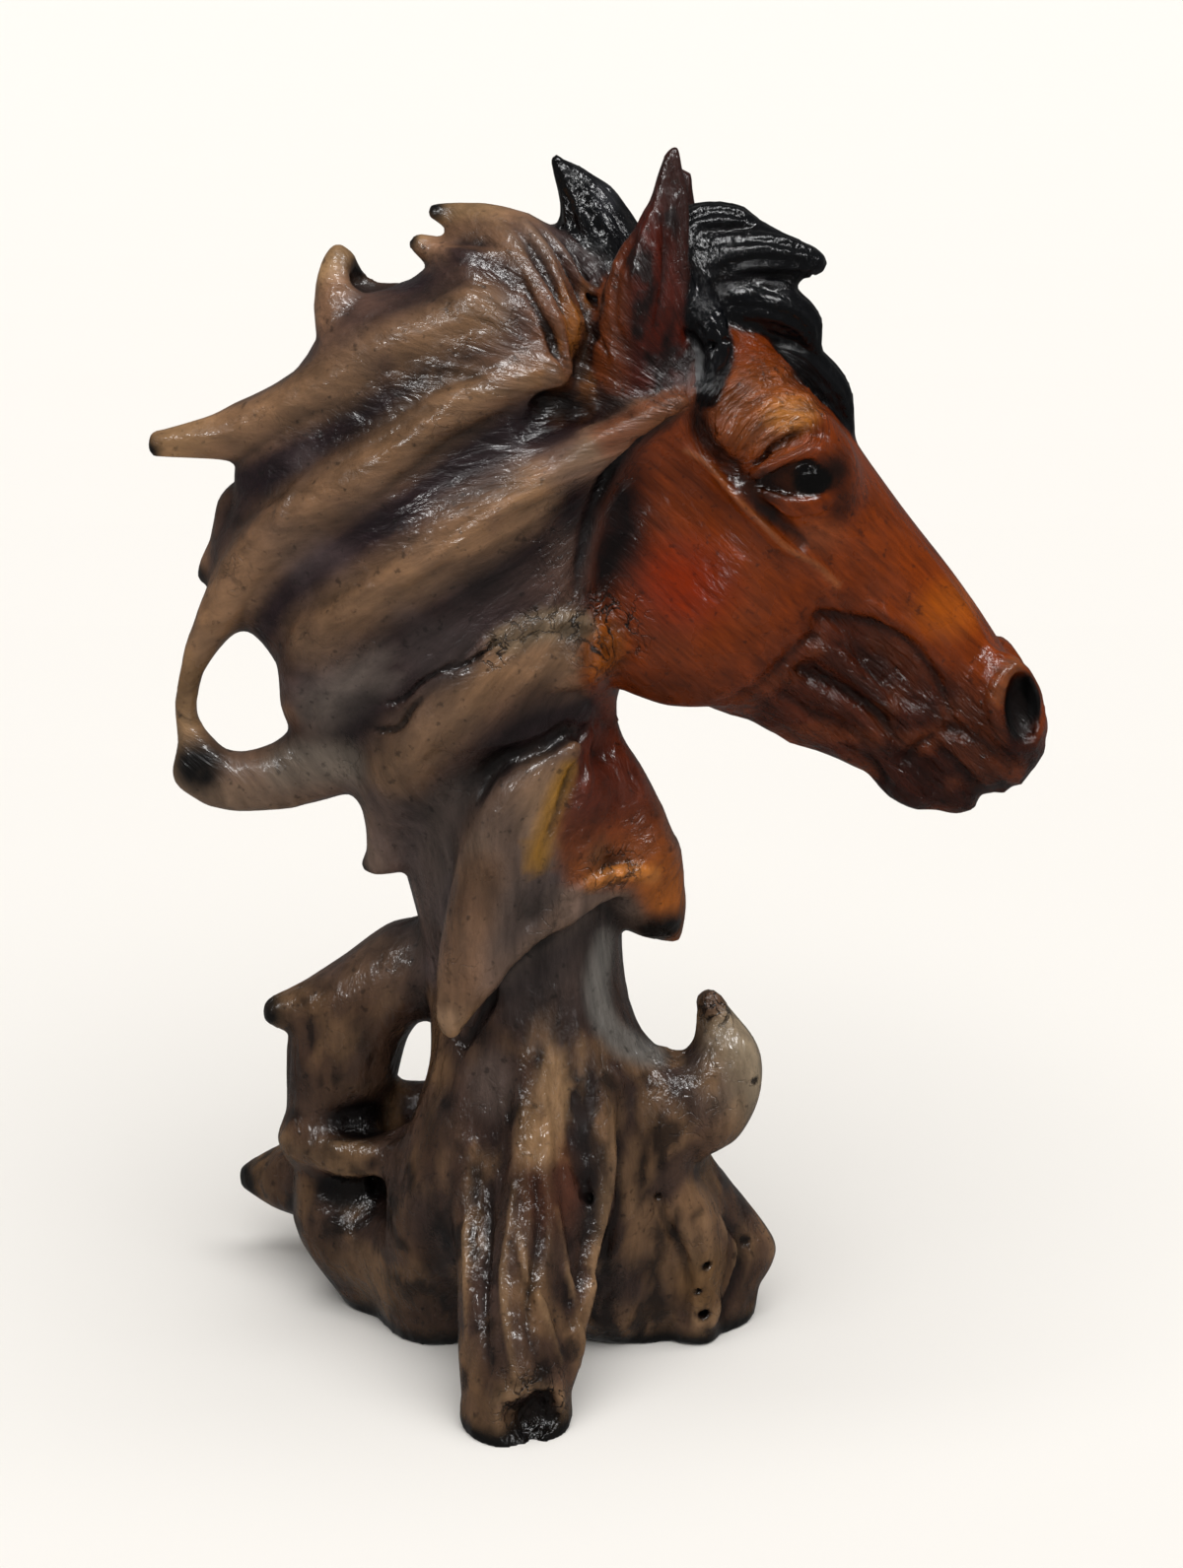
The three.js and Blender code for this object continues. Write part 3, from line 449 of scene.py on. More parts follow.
def carve_root(clay):
    """Folds of the foot, flap at the right, pits, caves and the hollow end of the foot."""
    ridges = [
        [(0, -44, 62), (-2, -52, 48), (-3, -57, 41), (-2, -64, 30), (0, -70, 19)],
        [(0, -50, 54), (3, -57, 42), (7, -60, 33), (11, -62, 19)],
        [(10, -46, 56), (12, -50, 40), (15, -52, 28), (14, -56, 16)],
        [(-12, -34, 70), (-14, -42, 54), (-13, -50, 40), (-12, -58, 24)],
    ]
    clay.strokes(ridges, 3, 1.6)
    flap = [(55, -15, 38), (60, -12, 28), (58, -14, 18), (54, -17, 8)]
    clay.stroke(flap, 5, 2, 2)
    clay.stroke([(x + 5, y + 3, z) for x, y, z in flap], 4, -2, 1.5)
    grooves = [
        [(6, -38, 78), (5, -44, 66), (6, -50, 54), (5, -56, 44), (3, -62, 33), (5, -67, 20)],
        [(13, -31, 82), (15, -37, 64), (19, -30, 46), (20, -25, 28), (21, -20, 12)],
        [(-8, -40, 60), (-8, -50, 46), (-8, -58, 32), (-6, -66, 18)],
        [(26, -30, 70), (27, -30, 54), (24, -30, 36), (24, -24, 18)],
        [(34, -18, 52), (44, -22, 36), (47, -22, 22), (46, -20, 8)],
        [(60, -12, 36), (60, -14, 24), (57, -15, 14), (58, -12, 5)],
    ]
    clay.strokes(grooves, 3, -1.8, 1.5)
    for *centre, radius in PITS:
        clay.egg(centre, (radius, 2 * radius, radius), 0.8, -1)
    caves = [
        [(-56, -6, 63, 3), (-46, -4, 63, 5), (-36, 2, 62, 4)],
        [(-61, -5, 43, 3), (-51, -8, 40, 5.5), (-41, -9, 43, 4)],
    ]
    for knots in caves:
        clay.tube(curve(knots), 2, -1)
    clay.egg((7, -74, 8), (8, 11, 7), 1.5, -1)
    clay.stroke([(30, -18, 88), (38, -9, 86), (46, -8, 90), (50, -8, 97)], 2, 1)


def carved(frame):
    """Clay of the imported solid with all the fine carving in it."""
    clay = Clay(*rounded_mesh(*packed_mesh(frame)))
    for side in (-1, 1):
        carve_eye(clay, side)
        carve_face(clay, side)
        carve_ear(clay, side)
    carve_locks(clay)
    clay.unfilled = clay.field.copy()
    fill_valleys(clay, [(-96, -40, 165), (34, 40, 305)], 9, 1.0, in_mane)
    fill_valleys(clay, [(-30, -76, 0), (50, 0, 112)], 7, 0.3, in_foot)
    carve_mane(clay)
    carve_neck(clay)
    carve_root(clay)
    return clay


def new_piece(clay):
    """Mesh object of the skin, thinned to its triangle count."""
    points, faces = clay.skin()
    mesh = bpy.data.meshes.new("horse_head")
    mesh.from_pydata(points, [], faces)
    piece = bpy.data.objects.new("horse_head", mesh)
    bpy.context.scene.collection.objects.link(piece)
    thin = piece.modifiers.new("thin", "DECIMATE")
    thin.ratio = min(1.0, TRIANGLES / len(faces))
    thinned = piece.evaluated_get(bpy.context.evaluated_depsgraph_get())
    piece.data = bpy.data.meshes.new_from_object(thinned)
    piece.modifiers.clear()
    return piece


# Stain, painted shade and painted highlights

def colour(code):
    """Linear red, green and blue of a screen colour written as six hex digits."""
    screen = np.array([int(code[n:n + 2], 16) for n in (0, 2, 4)]) / 255
    return np.where(screen <= 0.04045, screen / 12.92, ((screen + 0.055) / 1.055) ** 2.4)


class Stain:
    """Colour, gloss and grain of every vertex, laid on in washes."""

    def __init__(self, clay, points):
        self.points = points
        self.x, self.y, self.z = points.T
        self.broad = lattice(blurred(clay.field, 7), points / VOXEL - clay.low)
        self.fine = lattice(blurred(clay.field, 2), points / VOXEL - clay.low)
        self.valley = lattice(clay.unfilled, points / VOXEL - clay.low)
        self.colour = np.zeros_like(points)
        self.roughness = np.full(len(points), 0.32)
        self.streak = np.full(len(points), 0.55)
        self.face = self.muzzle = self.brow = np.zeros(len(points))
        cos, sin = math.cos(HEAD_PITCH), math.sin(HEAD_PITCH)
        forward, up = self.x - HEAD_AT[0], self.z - HEAD_AT[1]
        self.along, self.rise = forward * cos - up * sin, forward * sin + up * cos

    def wash(self, mask, code, strength=1.0):
        amount = np.clip(mask * strength, 0, 1)[:, None]
        self.colour += (colour(code) - self.colour) * amount

    def blob(self, centre, half, edge=0.45):
        """Mask of a soft lump."""
        return ramp(np.linalg.norm((self.points - centre) / half, axis=1), 1, edge)

    def spot(self, centre, half, edge=0.45):
        """Mask of a soft lump of x, z seen from the side, through the whole width."""
        at = np.column_stack([self.x, self.z])
        return ramp(np.linalg.norm((at - centre) / half, axis=1), 1, edge)

    def line(self, knots, inner, outer):
        """Mask of a soft line, or of what is near a tube where the knots carry a radius."""
        return ramp(gap_to(self.points, knots), outer, inner)

    def trace(self, knots, inner, outer):
        """Mask of a soft line of x, z knots seen from the side, through the whole width."""
        flat = np.column_stack([self.x, np.zeros(len(self.x)), self.z])
        return ramp(gap_to(flat, [(x, 0, z) for x, z in knots]), outer, inner)

    def outline(self, corners, soft):
        """Mask of what is inside an outline of x, z corners, seen from the side."""
        at = np.column_stack([self.x, self.z])
        near = np.full(len(at), FAR)
        inside = np.zeros(len(at), bool)
        for a, b in zip(corners, corners[1:] + corners[:1]):
            a, b = np.array(a, float), np.array(b, float)
            t = np.clip((at - a) @ (b - a) / ((b - a) @ (b - a)), 0, 1)
            near = np.minimum(near, np.linalg.norm(at - a - t[:, None] * (b - a), axis=1))
            crosses = (a[1] > at[:, 1]) != (b[1] > at[:, 1])
            level = (at[:, 1] - a[1]) / np.where(b[1] == a[1], 1, b[1] - a[1])
            inside ^= crosses & (at[:, 0] < a[0] + level * (b[0] - a[0]))
        return ramp(np.where(inside, near, -near), -soft, soft)


def stain_wood(s):
    """Driftwood: painted shade in the hollows, tan along the ridges, greyer down the neck."""
    lift = s.broad + 1.9 * (noise(s.points, (22, 14, 12)) - 0.5)
    s.wash(np.ones(len(s.x)), "47332b")
    # Painted shade in the broad hollows.
    s.wash(ramp(lift, -0.1, -1.6), "1f1416")
    s.wash(ramp(lift, -0.3, 1.3), "7a5a43")
    # Painted shade where the valleys were deep before they were filled.
    s.wash(ramp(s.valley, 0.8, 3.5), "1f1318", 0.9)
    s.wash(ramp(lift, 1.2, 2.9), "93734f", 0.8)
    s.wash(ramp(s.z, 185, 160) * ramp(s.z, 95, 120), "544842", 0.65)
    s.wash(ramp(noise(s.points, 16), 0.52, 0.66), "4a3d3d", 0.5)
    # Painted shade in the deep hollows of the mane and the neck, ragged at its edges.
    painted_shade_hollows = [
        ((-33, -20, 267), (17, 14, 9)), ((-32, -28, 238), (16, 12, 9)), ((-58, -12, 246), (17, 16, 7)),
        ((6, -30, 263), (17, 12, 8)), ((14, -28, 243), (9, 14, 12)), ((4, -26, 179), (14, 14, 5)),
    ]
    ragged = ramp(noise(s.points, (14, 9, 7)), 0.15, 0.45)
    for centre, half in painted_shade_hollows:
        s.wash(s.blob(centre, half, 0.2) * ragged, "180d12", 0.9)
    tan_ridges = [
        [(-93, -4, 256), (-71, -8, 260), (-48, -16, 271), (-25, -22, 282), (-8, -26, 291)],
        [(-12, -32, 271), (-34, -28, 254), (-60, -18, 234), (-78, -12, 212), (-87, -8, 192)],
        [(5, -36, 246), (-12, -36, 234), (-38, -30, 219), (-52, -20, 206)],
        [(10, -32, 206), (-5, -34, 200), (-20, -33, 186), (-32, -24, 172)],
    ]
    for knots in tan_ridges:
        s.wash(s.line(knots, 1, 12) * ragged, "8a6848", 0.6)
    s.wash(s.blob((-17, -29, 205), (15, 12, 13), 0.5), "3a302f", 0.85)
    s.wash(s.line([(-52, -18, 186), (-42, -22, 195), (-34, -25, 200)], 1, 11) * ragged, "625750", 0.8)
    s.wash(s.line([(-62, -14, 170), (-44, -16, 172)], 2, 10), "6d6358", 0.7)


BREAST = [(24, 190), (38, 160), (50, 126), (46, 108), (31, 138), (14, 142), (9, 158), (17, 178)]
HEM_SHADE = [(-6, 108), (6, 121), (24, 130), (36, 118), (28, 100), (0, 92)]


def stain_neck(s):
    """Orange breast with an ochre streak, tan skirt, painted shade on the column under its hem."""
    near = ramp(s.y, -4, -16)
    s.wash(s.blob((8, -29, 164), (12, 12, 18), 0.2) * near, "9d7b5d", 0.8)
    breast = s.outline(BREAST, 3)
    s.wash(breast, "571d07", 0.9)
    s.wash(breast * ramp(s.z, 165, 130), "8e4d0d", 0.75)
    s.wash(breast * ramp(s.z, 176, 186), "3a1810", 0.7)
    s.wash(s.line([(14, -28, 173), (9, -31, 160), (6, -32, 148)], 1, 5), "96691d", 0.9)
    s.wash(s.line([(20, -26, 141), (28, -22, 143), (36, -18, 141)], 1, 3.5), "a8672a", 0.8)
    s.wash(s.blob((24, -27, 148), (8, 8, 7), 0.2), "4a3a28", 0.6)
    # Painted shade on the column under the hem of the skirt.
    s.wash(s.outline(HEM_SHADE, 4) * near, "251e1e", 0.8)
    tongue = [(-10, -36, 146), (-14, -36, 128), (-18, -35, 108)]
    s.wash(s.line(tongue, 3, 10) * near, "664a35", 0.8)
    s.wash(s.blob((-18, -33, 103), (7, 9, 9), 0.3), "8c6f55", 0.9)


def stain_root(s):
    """Brown root, tan patches, bleached hook, grey cup; painted shade in holes, a groove and at the floor."""
    low = ramp(s.z, 112, 92)
    s.wash(low, "2e211b", 0.7)
    s.wash(low * ramp(noise(s.points, (9, 9, 15)), 0.5, 0.66), "6b5038", 0.75)
    s.wash(low * ramp(noise(s.points, (5, 5, 8)), 0.54, 0.68), "140e0d", 0.8)
    s.wash(low * ramp(s.fine, 0.15, 0.8), "8a6c4e", 0.55)
    s.wash(s.blob((10, -42, 62), (15, 18, 20), 0.3), "43200f", 0.6)
    s.wash(s.blob((-7, -29, 85), (10, 12, 13), 0.3), "5c4d46", 0.6)
    s.wash(s.blob((-64, 4, 74), (10, 16, 10), 0.4), "2a1d18", 0.8)
    broken = ramp(noise(s.points, (4, 6, 12)), 0.3, 0.55)
    s.wash(s.line([(13, -29, 94), (10, -33, 84), (6, -41, 72)], 2, 9) * broken, "8a6b4c", 0.85)
    s.roughness += (0.2 - s.roughness) * low
    # Painted shade in a groove of the foot.
    s.wash(s.line([(17, -34, 72), (20, -37, 60), (20, -41, 48)], 1, 6), "191616", 0.9)
    s.wash(s.line([(50, -8, 72), (60, -8, 78), (62, -8, 90)], 6, 15), "8f7f69", 0.9)
    s.wash(s.blob((53, -7, 101), (6, 12, 6), 0.4), "4f392b", 0.9)
    s.wash(s.line([(24, -14, 119), (22, -18, 108), (27, -20, 96), (36, -12, 86)], 2, 7), "6a6661", 0.85)
    s.wash(s.blob((-42, -8, 18), (22, 20, 14), 0.3), "6b523c", 0.8)
    s.wash(s.blob((52, -18, 22), (12, 12, 16), 0.3), "5d4225", 0.8)
    # Painted shade in the caves and in the hollow end of the foot.
    caves = [((-45, -1, 62), (13, 12, 7)), ((-50, -3, 41), (13, 12, 7)), ((6, -73, 7), (12, 14, 10))]
    for centre, half in caves:
        s.wash(s.blob(centre, half, 0.55), "070505", 0.95)
    # Painted shade inside the pits.
    for *centre, radius in PITS:
        s.wash(s.blob(centre, (1.5 * radius, 6, 1.5 * radius), 0.7), "0a0706", 0.9)
    # Painted shade where the root meets the floor.
    s.wash(ramp(s.z, 7, 2), "0b0908")


def stain_tips(s):
    """Black ends of spikes, loop and roots; painted shade among the spikes and under the breast's lip."""
    # Black ends, and painted shade in the hollow among the spikes at (-37, -2, 298) and under the lip of the
    # breast at (39, -12, 124).
    black_ends_and_shade = [
        ((-95, -4, 253), (5, 9, 5)), ((-37, -2, 298), (10, 10, 9)), ((-20, -1, 314), (4, 8, 4)),
        ((-26, -3, 307), (3, 8, 4)), ((-84, 0, 218), (6, 12, 6)), ((-85, -9, 169), (11, 16, 11)),
        ((-72, 7, 92), (8, 14, 8)), ((-43, -7, 139), (5, 8, 5)),
        ((39, -12, 124), (12, 14, 9)), ((-86, 41, 24), (8, 12, 8)),
    ]
    for centre, half in black_ends_and_shade:
        s.wash(s.blob(centre, half, 0.3) * (0.7 + 0.6 * noise(s.points, 5)), "0d0a09")


FACE = [
    (45, 269), (47, 292), (60, 300), (100, 290), (152, 200), (146, 146), (98, 146), (62, 174), (26, 182),
    (17, 198), (19, 216), (22, 240), (32, 257),
]

EYE = [
    (59.5, 247.4), (64, 250.6), (69, 253.6), (75, 254.6), (80, 251.4), (83, 247), (77.5, 244.8), (70, 244.8),
]


def stain_face(s):
    """Chestnut face: red cheek, tan brow, dark muzzle, black eye, painted shade and painted highlights."""
    lock = s.line([(42, -31, 269, 1.5), (30, -31, 263, 4), (6, -28, 248, 8)], 1, 2.5)
    face = s.outline(FACE, 2.5) * (1 - lock)
    s.face = face
    s.wash(face, "702c03")
    s.wash(face * s.spot((43, 222), (20, 18), 0.2), "7c2200", 0.9)
    s.wash(face * s.spot((40, 191), (28, 12), 0.2), "4e1d03", 0.8)
    # Painted shade at the back of the cheek, where it sets in under the lock of the mane.
    s.wash(face * s.spot((21, 238), (19, 29), 0.45) * (0.75 + 0.5 * noise(s.points, 8)), "100303")
    s.wash(face * s.spot((22, 205), (10, 12), 0.3), "7d4312", 0.85)
    s.wash(face * s.spot((62, 266), (18, 16), 0.3), "7d431c", 0.85)
    s.wash(face * s.spot((70, 265), (10, 6), 0.2), "c07a34", 0.85)
    s.wash(face * s.spot((78, 234), (11, 8), 0.2), "7d3c18", 0.7)
    s.wash(face * s.spot((114, 212), (15, 11), 0.2), "964808", 0.85)
    s.muzzle = face * ramp(s.along, 28, 46) * ramp(s.rise - 0.12 * s.along, 5, -9)
    s.brow = face * s.spot((63, 264), (21, 20), 0.5) * ramp(s.z - 0.3 * (s.x - 72), 253, 259)
    s.wash(s.muzzle, "3f190c", 0.96)
    s.wash(s.muzzle * ramp(s.along, 66, 84), "2a0e07", 0.9)
    s.wash(face * ramp(s.along, 80, 94) * ramp(s.rise, 14, 0), "30120a", 0.85)
    s.wash(s.muzzle * ramp(noise(s.points, (9, 9, 9)), 0.5, 0.66), "5c2a12", 0.7)
    # Painted highlight along the crest of the cheek.
    crest = [(44, 256), (49, 253), (56, 245), (63, 238), (70, 231), (78, 226), (84, 220)]
    s.wash(face * s.trace(crest, 0.2, 1.2), "a06a40", 0.3)
    for side in (-1, 1):
        on_side = ramp(s.y * side, 2, 8)
        # Painted shade in the groove above the crest.
        crest_groove_shade = [(46, -27, 268), (48, -27, 260), (53, -27, 254), (59, -27, 247), (66, -26, 240)]
        s.wash(s.line(mirrored(crest_groove_shade, side), 1.2, 4), "220d07", 0.8)
        # Painted highlight on the rim of the nostril.
        rim = mirrored([(133, -14, 199), (129, -16, 195), (127, -17, 190)], side)
        s.wash(s.line(rim, 1, 4), "75401f", 0.8)
        # Painted shade inside the nostril.
        s.wash(s.blob((134.5, side * 15, 186), (6.6, 9, 11), 0.75) * on_side, "030202")
        s.roughness += (0.7 - s.roughness) * s.blob((134.5, side * 13, 186), (5, 7, 9), 0.7)
        s.wash(s.blob((66, side * 28, 248), (10, 9, 6), 0.5), "331507", 0.9)
        s.wash(s.blob((81, side * 24, 251), (9, 12, 9), 0.25), "180a06", 0.95)
        s.wash(s.blob((84, side * 23, 242), (7, 12, 9), 0.2), "2c1208", 0.8)
        opening = s.outline(EYE, 0.5) * on_side
        s.wash(opening, "2c1206")
        pupil = opening * ramp(np.hypot(s.x - 76, s.z - 249.6), 5.6, 4.8)
        s.wash(pupil, "040303")
        s.roughness += (0.05 - s.roughness) * opening
        s.streak *= 1 - opening
    # Painted shade in the creases of the face.
    s.wash(face * ramp(s.fine, -0.1, -0.6), "1c0904", 0.6)
    s.streak = np.where(face > 0.5, 0.65, s.streak)
    s.roughness = np.where((face > 0.5) & (np.abs(s.roughness - 0.32) < 0.01), 0.25, s.roughness)


def stain_hair(s):
    """Orange hair by the ear with painted shade in its grooves and hollow, red ears, black locks."""
    orange = s.blob((14, -22, 284), (16, 20, 26), 0.3) * ramp(s.y, 2, -8)
    s.wash(orange, "5e351f", 0.85)
    s.wash(orange * ramp(noise(s.points, (4, 4, 14)), 0.5, 0.65), "86501f", 0.9)
    # Painted shade in the grooves of the hair.
    s.wash(orange * ramp(s.fine, -0.15, -0.6), "170b07", 0.7)
    # Painted shade in the hollow under the cheek lock.
    s.wash(s.blob((13, -26, 267), (9, 8, 6), 0.4), "0d0807", 0.9)
    s.wash(s.line([(44, -31, 270), (36, -32, 267), (24, -33, 260)], 2, 6), "6b3419", 0.8)
    for side in (-1, 1):
        lean = 4 if side > 0 else 0
        ear = s.line(
            [
                (33, side * 20, 280, 11), (34, side * 21, 297, 10.5), (38 + lean, side * 21, 311 - lean, 6.5),
                (40.5 + lean, side * 20, 330 - 2 * lean, 2.2),
            ],
            1.5, 3.5,
        )
        s.wash(ear, "400f03")
        s.wash(ear * ramp(s.x, 32, 24), "70381a", 0.8)
        s.wash(ear * ramp(s.z, 314, 328), "4d322d", 0.8)
        s.wash(ear * ramp(s.x + 0.25 * (s.z - 290), 42, 46), "2a1410", 0.8)
        s.wash(ear * ramp(noise(s.points, (4, 4, 9)), 0.55, 0.68), "140605", 0.95)
    for knots in LOCKS.values():
        hair = s.line(knots, 0.8, 2.2)
        s.wash(hair, "06070a")
        s.roughness += (0.16 - s.roughness) * hair
        s.streak *= 1 - 0.6 * hair
    s.wash(s.blob((24, -3, 318), (5, 8, 7), 0.4), "2b2c30", 0.8)


def grain_of(s):
    """Place across and along the grain: round the head in the mane, up the root, down the nose."""
    swing_x, swing_z = s.x - 53, s.z - 263
    mane = np.stack([48 * np.arctan2(-swing_z, -swing_x), np.hypot(swing_x, swing_z), s.y * 0.6], -1)
    turn = np.arctan2(s.y - 8, s.x - 4)
    root = np.stack([26 * turn + 97, 275 - s.z, np.hypot(s.y - 8, s.x - 4) * 0.6 - 42], -1)
    head = np.stack([s.rise, s.along, s.y], -1)
    down = ramp(s.z + 0.25 * s.x, 172, 140)[:, None]
    grain = mane + (root - mane) * down
    return grain + (head - grain) * s.face[:, None]


def torn_places(s):
    """Mask of the broken and flaking places."""
    torn = s.line([(18, -28, 211), (10, -30, 212.5), (2, -31, 211), (-5, -33, 205)], 2, 6)
    places = [
        (1, (24, -27, 208), (14, 14, 18), 0.4), (1, (6, -70, 10), (14, 14, 14), 0.5),
        (1, (54, -8, 100), (8, 12, 8), 0.5), (0.7, (26, -24, 144), (12, 12, 9), 0.4),
    ]
    for strength, centre, half, edge in places:
        torn = np.maximum(torn, strength * s.blob(centre, half, edge))
    return torn


def eye_rings(s):
    """Place away from the eye and round it, for the wrinkles of the brow."""
    forward, up = s.x - 74, s.z - 249
    return np.stack([np.hypot(forward, up), 18 * np.arctan2(up, forward), s.y], -1)


def relief(s, grain, rings, torn):
    """Height of the flakes, of the ripples along the grain, and of the wrinkles of the face."""
    wood = 1 - s.face
    layers = [
        (s.points, 3.2, 3.4 * torn), (grain, (6, 44, 12), 1.8 * wood), (grain, (2.4, 18, 6), 0.8 * wood),
        (grain, (3.4, 16, 8), 2.4 * s.muzzle), (rings, (2.3, 11, 8), 2.2 * s.brow),
    ]
    return sum((noise(places, size) - 0.5) * height for places, size, height in layers)


def stain_all(s):
    """Every wash in turn, with a patch of bare wood on the torn rim and painted shade in the grooves."""
    stain_wood(s)
    stain_neck(s)
    stain_root(s)
    stain_tips(s)
    stain_face(s)
    stain_hair(s)
    s.wash(s.line([(17, -29, 211), (8, -31, 212), (-2, -32, 208)], 2, 6), "7d6a52", 0.8)
    # Painted shade in the grooves, weaker on the face.
    s.wash(ramp(s.fine, -0.1, -0.7) * (1 - 0.6 * s.face), "0c0808", 0.6)


def stained(clay, piece):
    """Raises the low relief of the mesh and lays the colours on as its attributes."""
    mesh = piece.data
    points = np.zeros(len(mesh.vertices) * 3)
    mesh.vertices.foreach_get("co", points)
    points = points.reshape(-1, 3)
    s = Stain(clay, points)
    torn = torn_places(s)
    stain_all(s)
    grain = grain_of(s)
    rings = eye_rings(s)
    bumps = relief(s, grain, rings, torn)
    grain += (rings - grain) * s.brow[:, None]
    tone = (0.78 + 0.44 * noise(points, 7)) * (1 + 0.7 * np.clip(bumps, -0.7, 0.7))
    s.colour = np.clip(s.colour * tone[:, None], 0, 1)
    wood = 1 - s.face
    crackle = np.maximum(torn, 0.25 * ramp(noise(points, 14), 0.55, 0.75) * wood)
    wrinkle = 0.2 + 0.15 * wood + 0.1 * ramp(s.z, 110, 90) + 0.6 * s.muzzle + 0.7 * s.brow + 0.5 * torn
    moved = points + clay.normal(points) * bumps[:, None]
    moved[:, 2] = np.maximum(moved[:, 2], 0)
    mesh.vertices.foreach_set("co", (moved * MM).ravel())
    layers = {
        "stain": ("FLOAT_COLOR", "color", np.column_stack([s.colour, np.ones(len(points))])),
        "grain": ("FLOAT_VECTOR", "vector", grain),
        "roughness": ("FLOAT", "value", s.roughness),
        "streak": ("FLOAT", "value", s.streak),
        "crackle": ("FLOAT", "value", crackle),
        "wrinkle": ("FLOAT", "value", np.clip(wrinkle, 0, 1)),
    }
    for name, (kind, field, values) in layers.items():
        layer = mesh.attributes.new(name, kind, "POINT")
        layer.data.foreach_set(field, np.asarray(values, np.float32).ravel())
    mesh.polygons.foreach_set("use_smooth", np.ones(len(mesh.polygons), bool))
    mesh.update()


# Varnish

class Nodes:
    """Short way to add and join the nodes of a material."""

    def __init__(self, material):
        self.tree = material.node_tree

    def add(self, kind, inputs=None, **settings):
        node = self.tree.nodes.new("ShaderNode" + kind)
        for name, value in settings.items():
            setattr(node, name, value)
        for socket, value in (inputs or {}).items():
            if isinstance(value, bpy.types.NodeSocket):
                self.tree.links.new(value, node.inputs[socket])
            else:
                node.inputs[socket].default_value = value
        return node

    def layer(self, name, output="Fac"):
        """Output of a vertex attribute."""
        return self.add("Attribute", attribute_name=name).outputs[output]

    def mix(self, share, first, second, blend="MIX"):
        """Colour output of two colours mixed by a share."""
        node = self.add("Mix", {0: share, 6: first, 7: second}, data_type="RGBA", blend_type=blend)
        return node.outputs[2]


def varnish():
    """Stained wood under gloss varnish, streaked along the grain and cracked where it is torn."""
    material = bpy.data.materials.new(SLOT)
    material.use_nodes = True
    nodes = Nodes(material)
    shader = material.node_tree.nodes["Principled BSDF"]
    stain = nodes.layer("stain", "Color")
    grain = nodes.layer("grain", "Vector")
    streak = nodes.layer("streak")
    crackle = nodes.layer("crackle")
    place = nodes.add("TexCoord").outputs["Object"]

    stretched = nodes.add("Mapping", {"Vector": grain, "Scale": (0.55, 0.05, 0.4)}).outputs[0]
    fibres = nodes.add("TexNoise", {"Vector": stretched, "Scale": 1.0, "Detail": 5.0, "Roughness": 0.65})
    shade = nodes.add("MapRange", {"Value": fibres.outputs["Fac"], "From Min": 0.3, "From Max": 0.7,
                                   "To Min": 0.35, "To Max": 1.5})
    tinted = nodes.mix(streak, stain, shade.outputs[0], "MULTIPLY")
    specks = nodes.add("TexNoise", {"Vector": place, "Scale": 420.0, "Detail": 3.0})
    dirt = nodes.add("MapRange", {"Value": specks.outputs["Fac"], "From Min": 0.62, "From Max": 0.72,
                                  "To Min": 0.0, "To Max": 0.55})
    dirty = nodes.mix(dirt.outputs[0], tinted, (0.006, 0.004, 0.003, 1))
    flakes = nodes.add("TexNoise", {"Vector": place, "Scale": 190.0, "Detail": 3.0, "Distortion": 0.6})
    offset = nodes.add("Math", {0: flakes.outputs["Fac"], 1: 0.5}, operation="SUBTRACT")
    distance = nodes.add("Math", {0: offset.outputs[0]}, operation="ABSOLUTE")
    split = nodes.add("MapRange", {"Value": distance.outputs[0], "From Min": 0.008, "From Max": 0.035,
                                   "To Min": 1.0, "To Max": 0.0})
    torn = nodes.add("Math", {0: split.outputs[0], 1: crackle}, operation="MULTIPLY")
    cracked = nodes.mix(torn.outputs[0], dirty, (0.01, 0.006, 0.004, 1))

    creased = nodes.add("Mapping", {"Vector": grain, "Scale": (0.4, 0.11, 0.3)}).outputs[0]
    creases = nodes.add("TexNoise", {"Vector": creased, "Scale": 1.0, "Detail": 4.0, "Distortion": 0.4})
    folded = nodes.add("Bump", {"Height": creases.outputs["Fac"], "Strength": nodes.layer("wrinkle"),
                                "Distance": 0.004})
    ripple = nodes.add("Bump", {"Height": fibres.outputs["Fac"], "Strength": 0.25, "Distance": 0.001,
                                "Normal": folded.outputs[0]})
    grit = nodes.add("Bump", {"Height": specks.outputs["Fac"], "Strength": 0.12, "Distance": 0.0006,
                              "Normal": ripple.outputs[0]})
    opened = nodes.add("Bump", {"Height": torn.outputs[0], "Strength": 0.6, "Distance": 0.0012,
                                "Normal": grit.outputs[0]}, invert=True)
    smear = nodes.add("TexNoise", {"Vector": place, "Scale": 70.0, "Detail": 4.0})
    patchy = nodes.add("MapRange", {"Value": smear.outputs["Fac"], "From Min": 0.3, "From Max": 0.7,
                                    "To Min": -0.07, "To Max": 0.12})
    roughness = nodes.add("Math", {0: nodes.layer("roughness"), 1: patchy.outputs[0]}, operation="ADD")

    links = material.node_tree.links
    links.new(cracked, shader.inputs["Base Color"])
    links.new(roughness.outputs[0], shader.inputs["Roughness"])
    links.new(opened.outputs[0], shader.inputs["Normal"])
    links.new(folded.outputs[0], shader.inputs["Coat Normal"])
    shader.inputs["Specular IOR Level"].default_value = 0.34
    shader.inputs["Coat Weight"].default_value = 0.35
    shader.inputs["Coat Roughness"].default_value = 0.1
    return material


# Studio

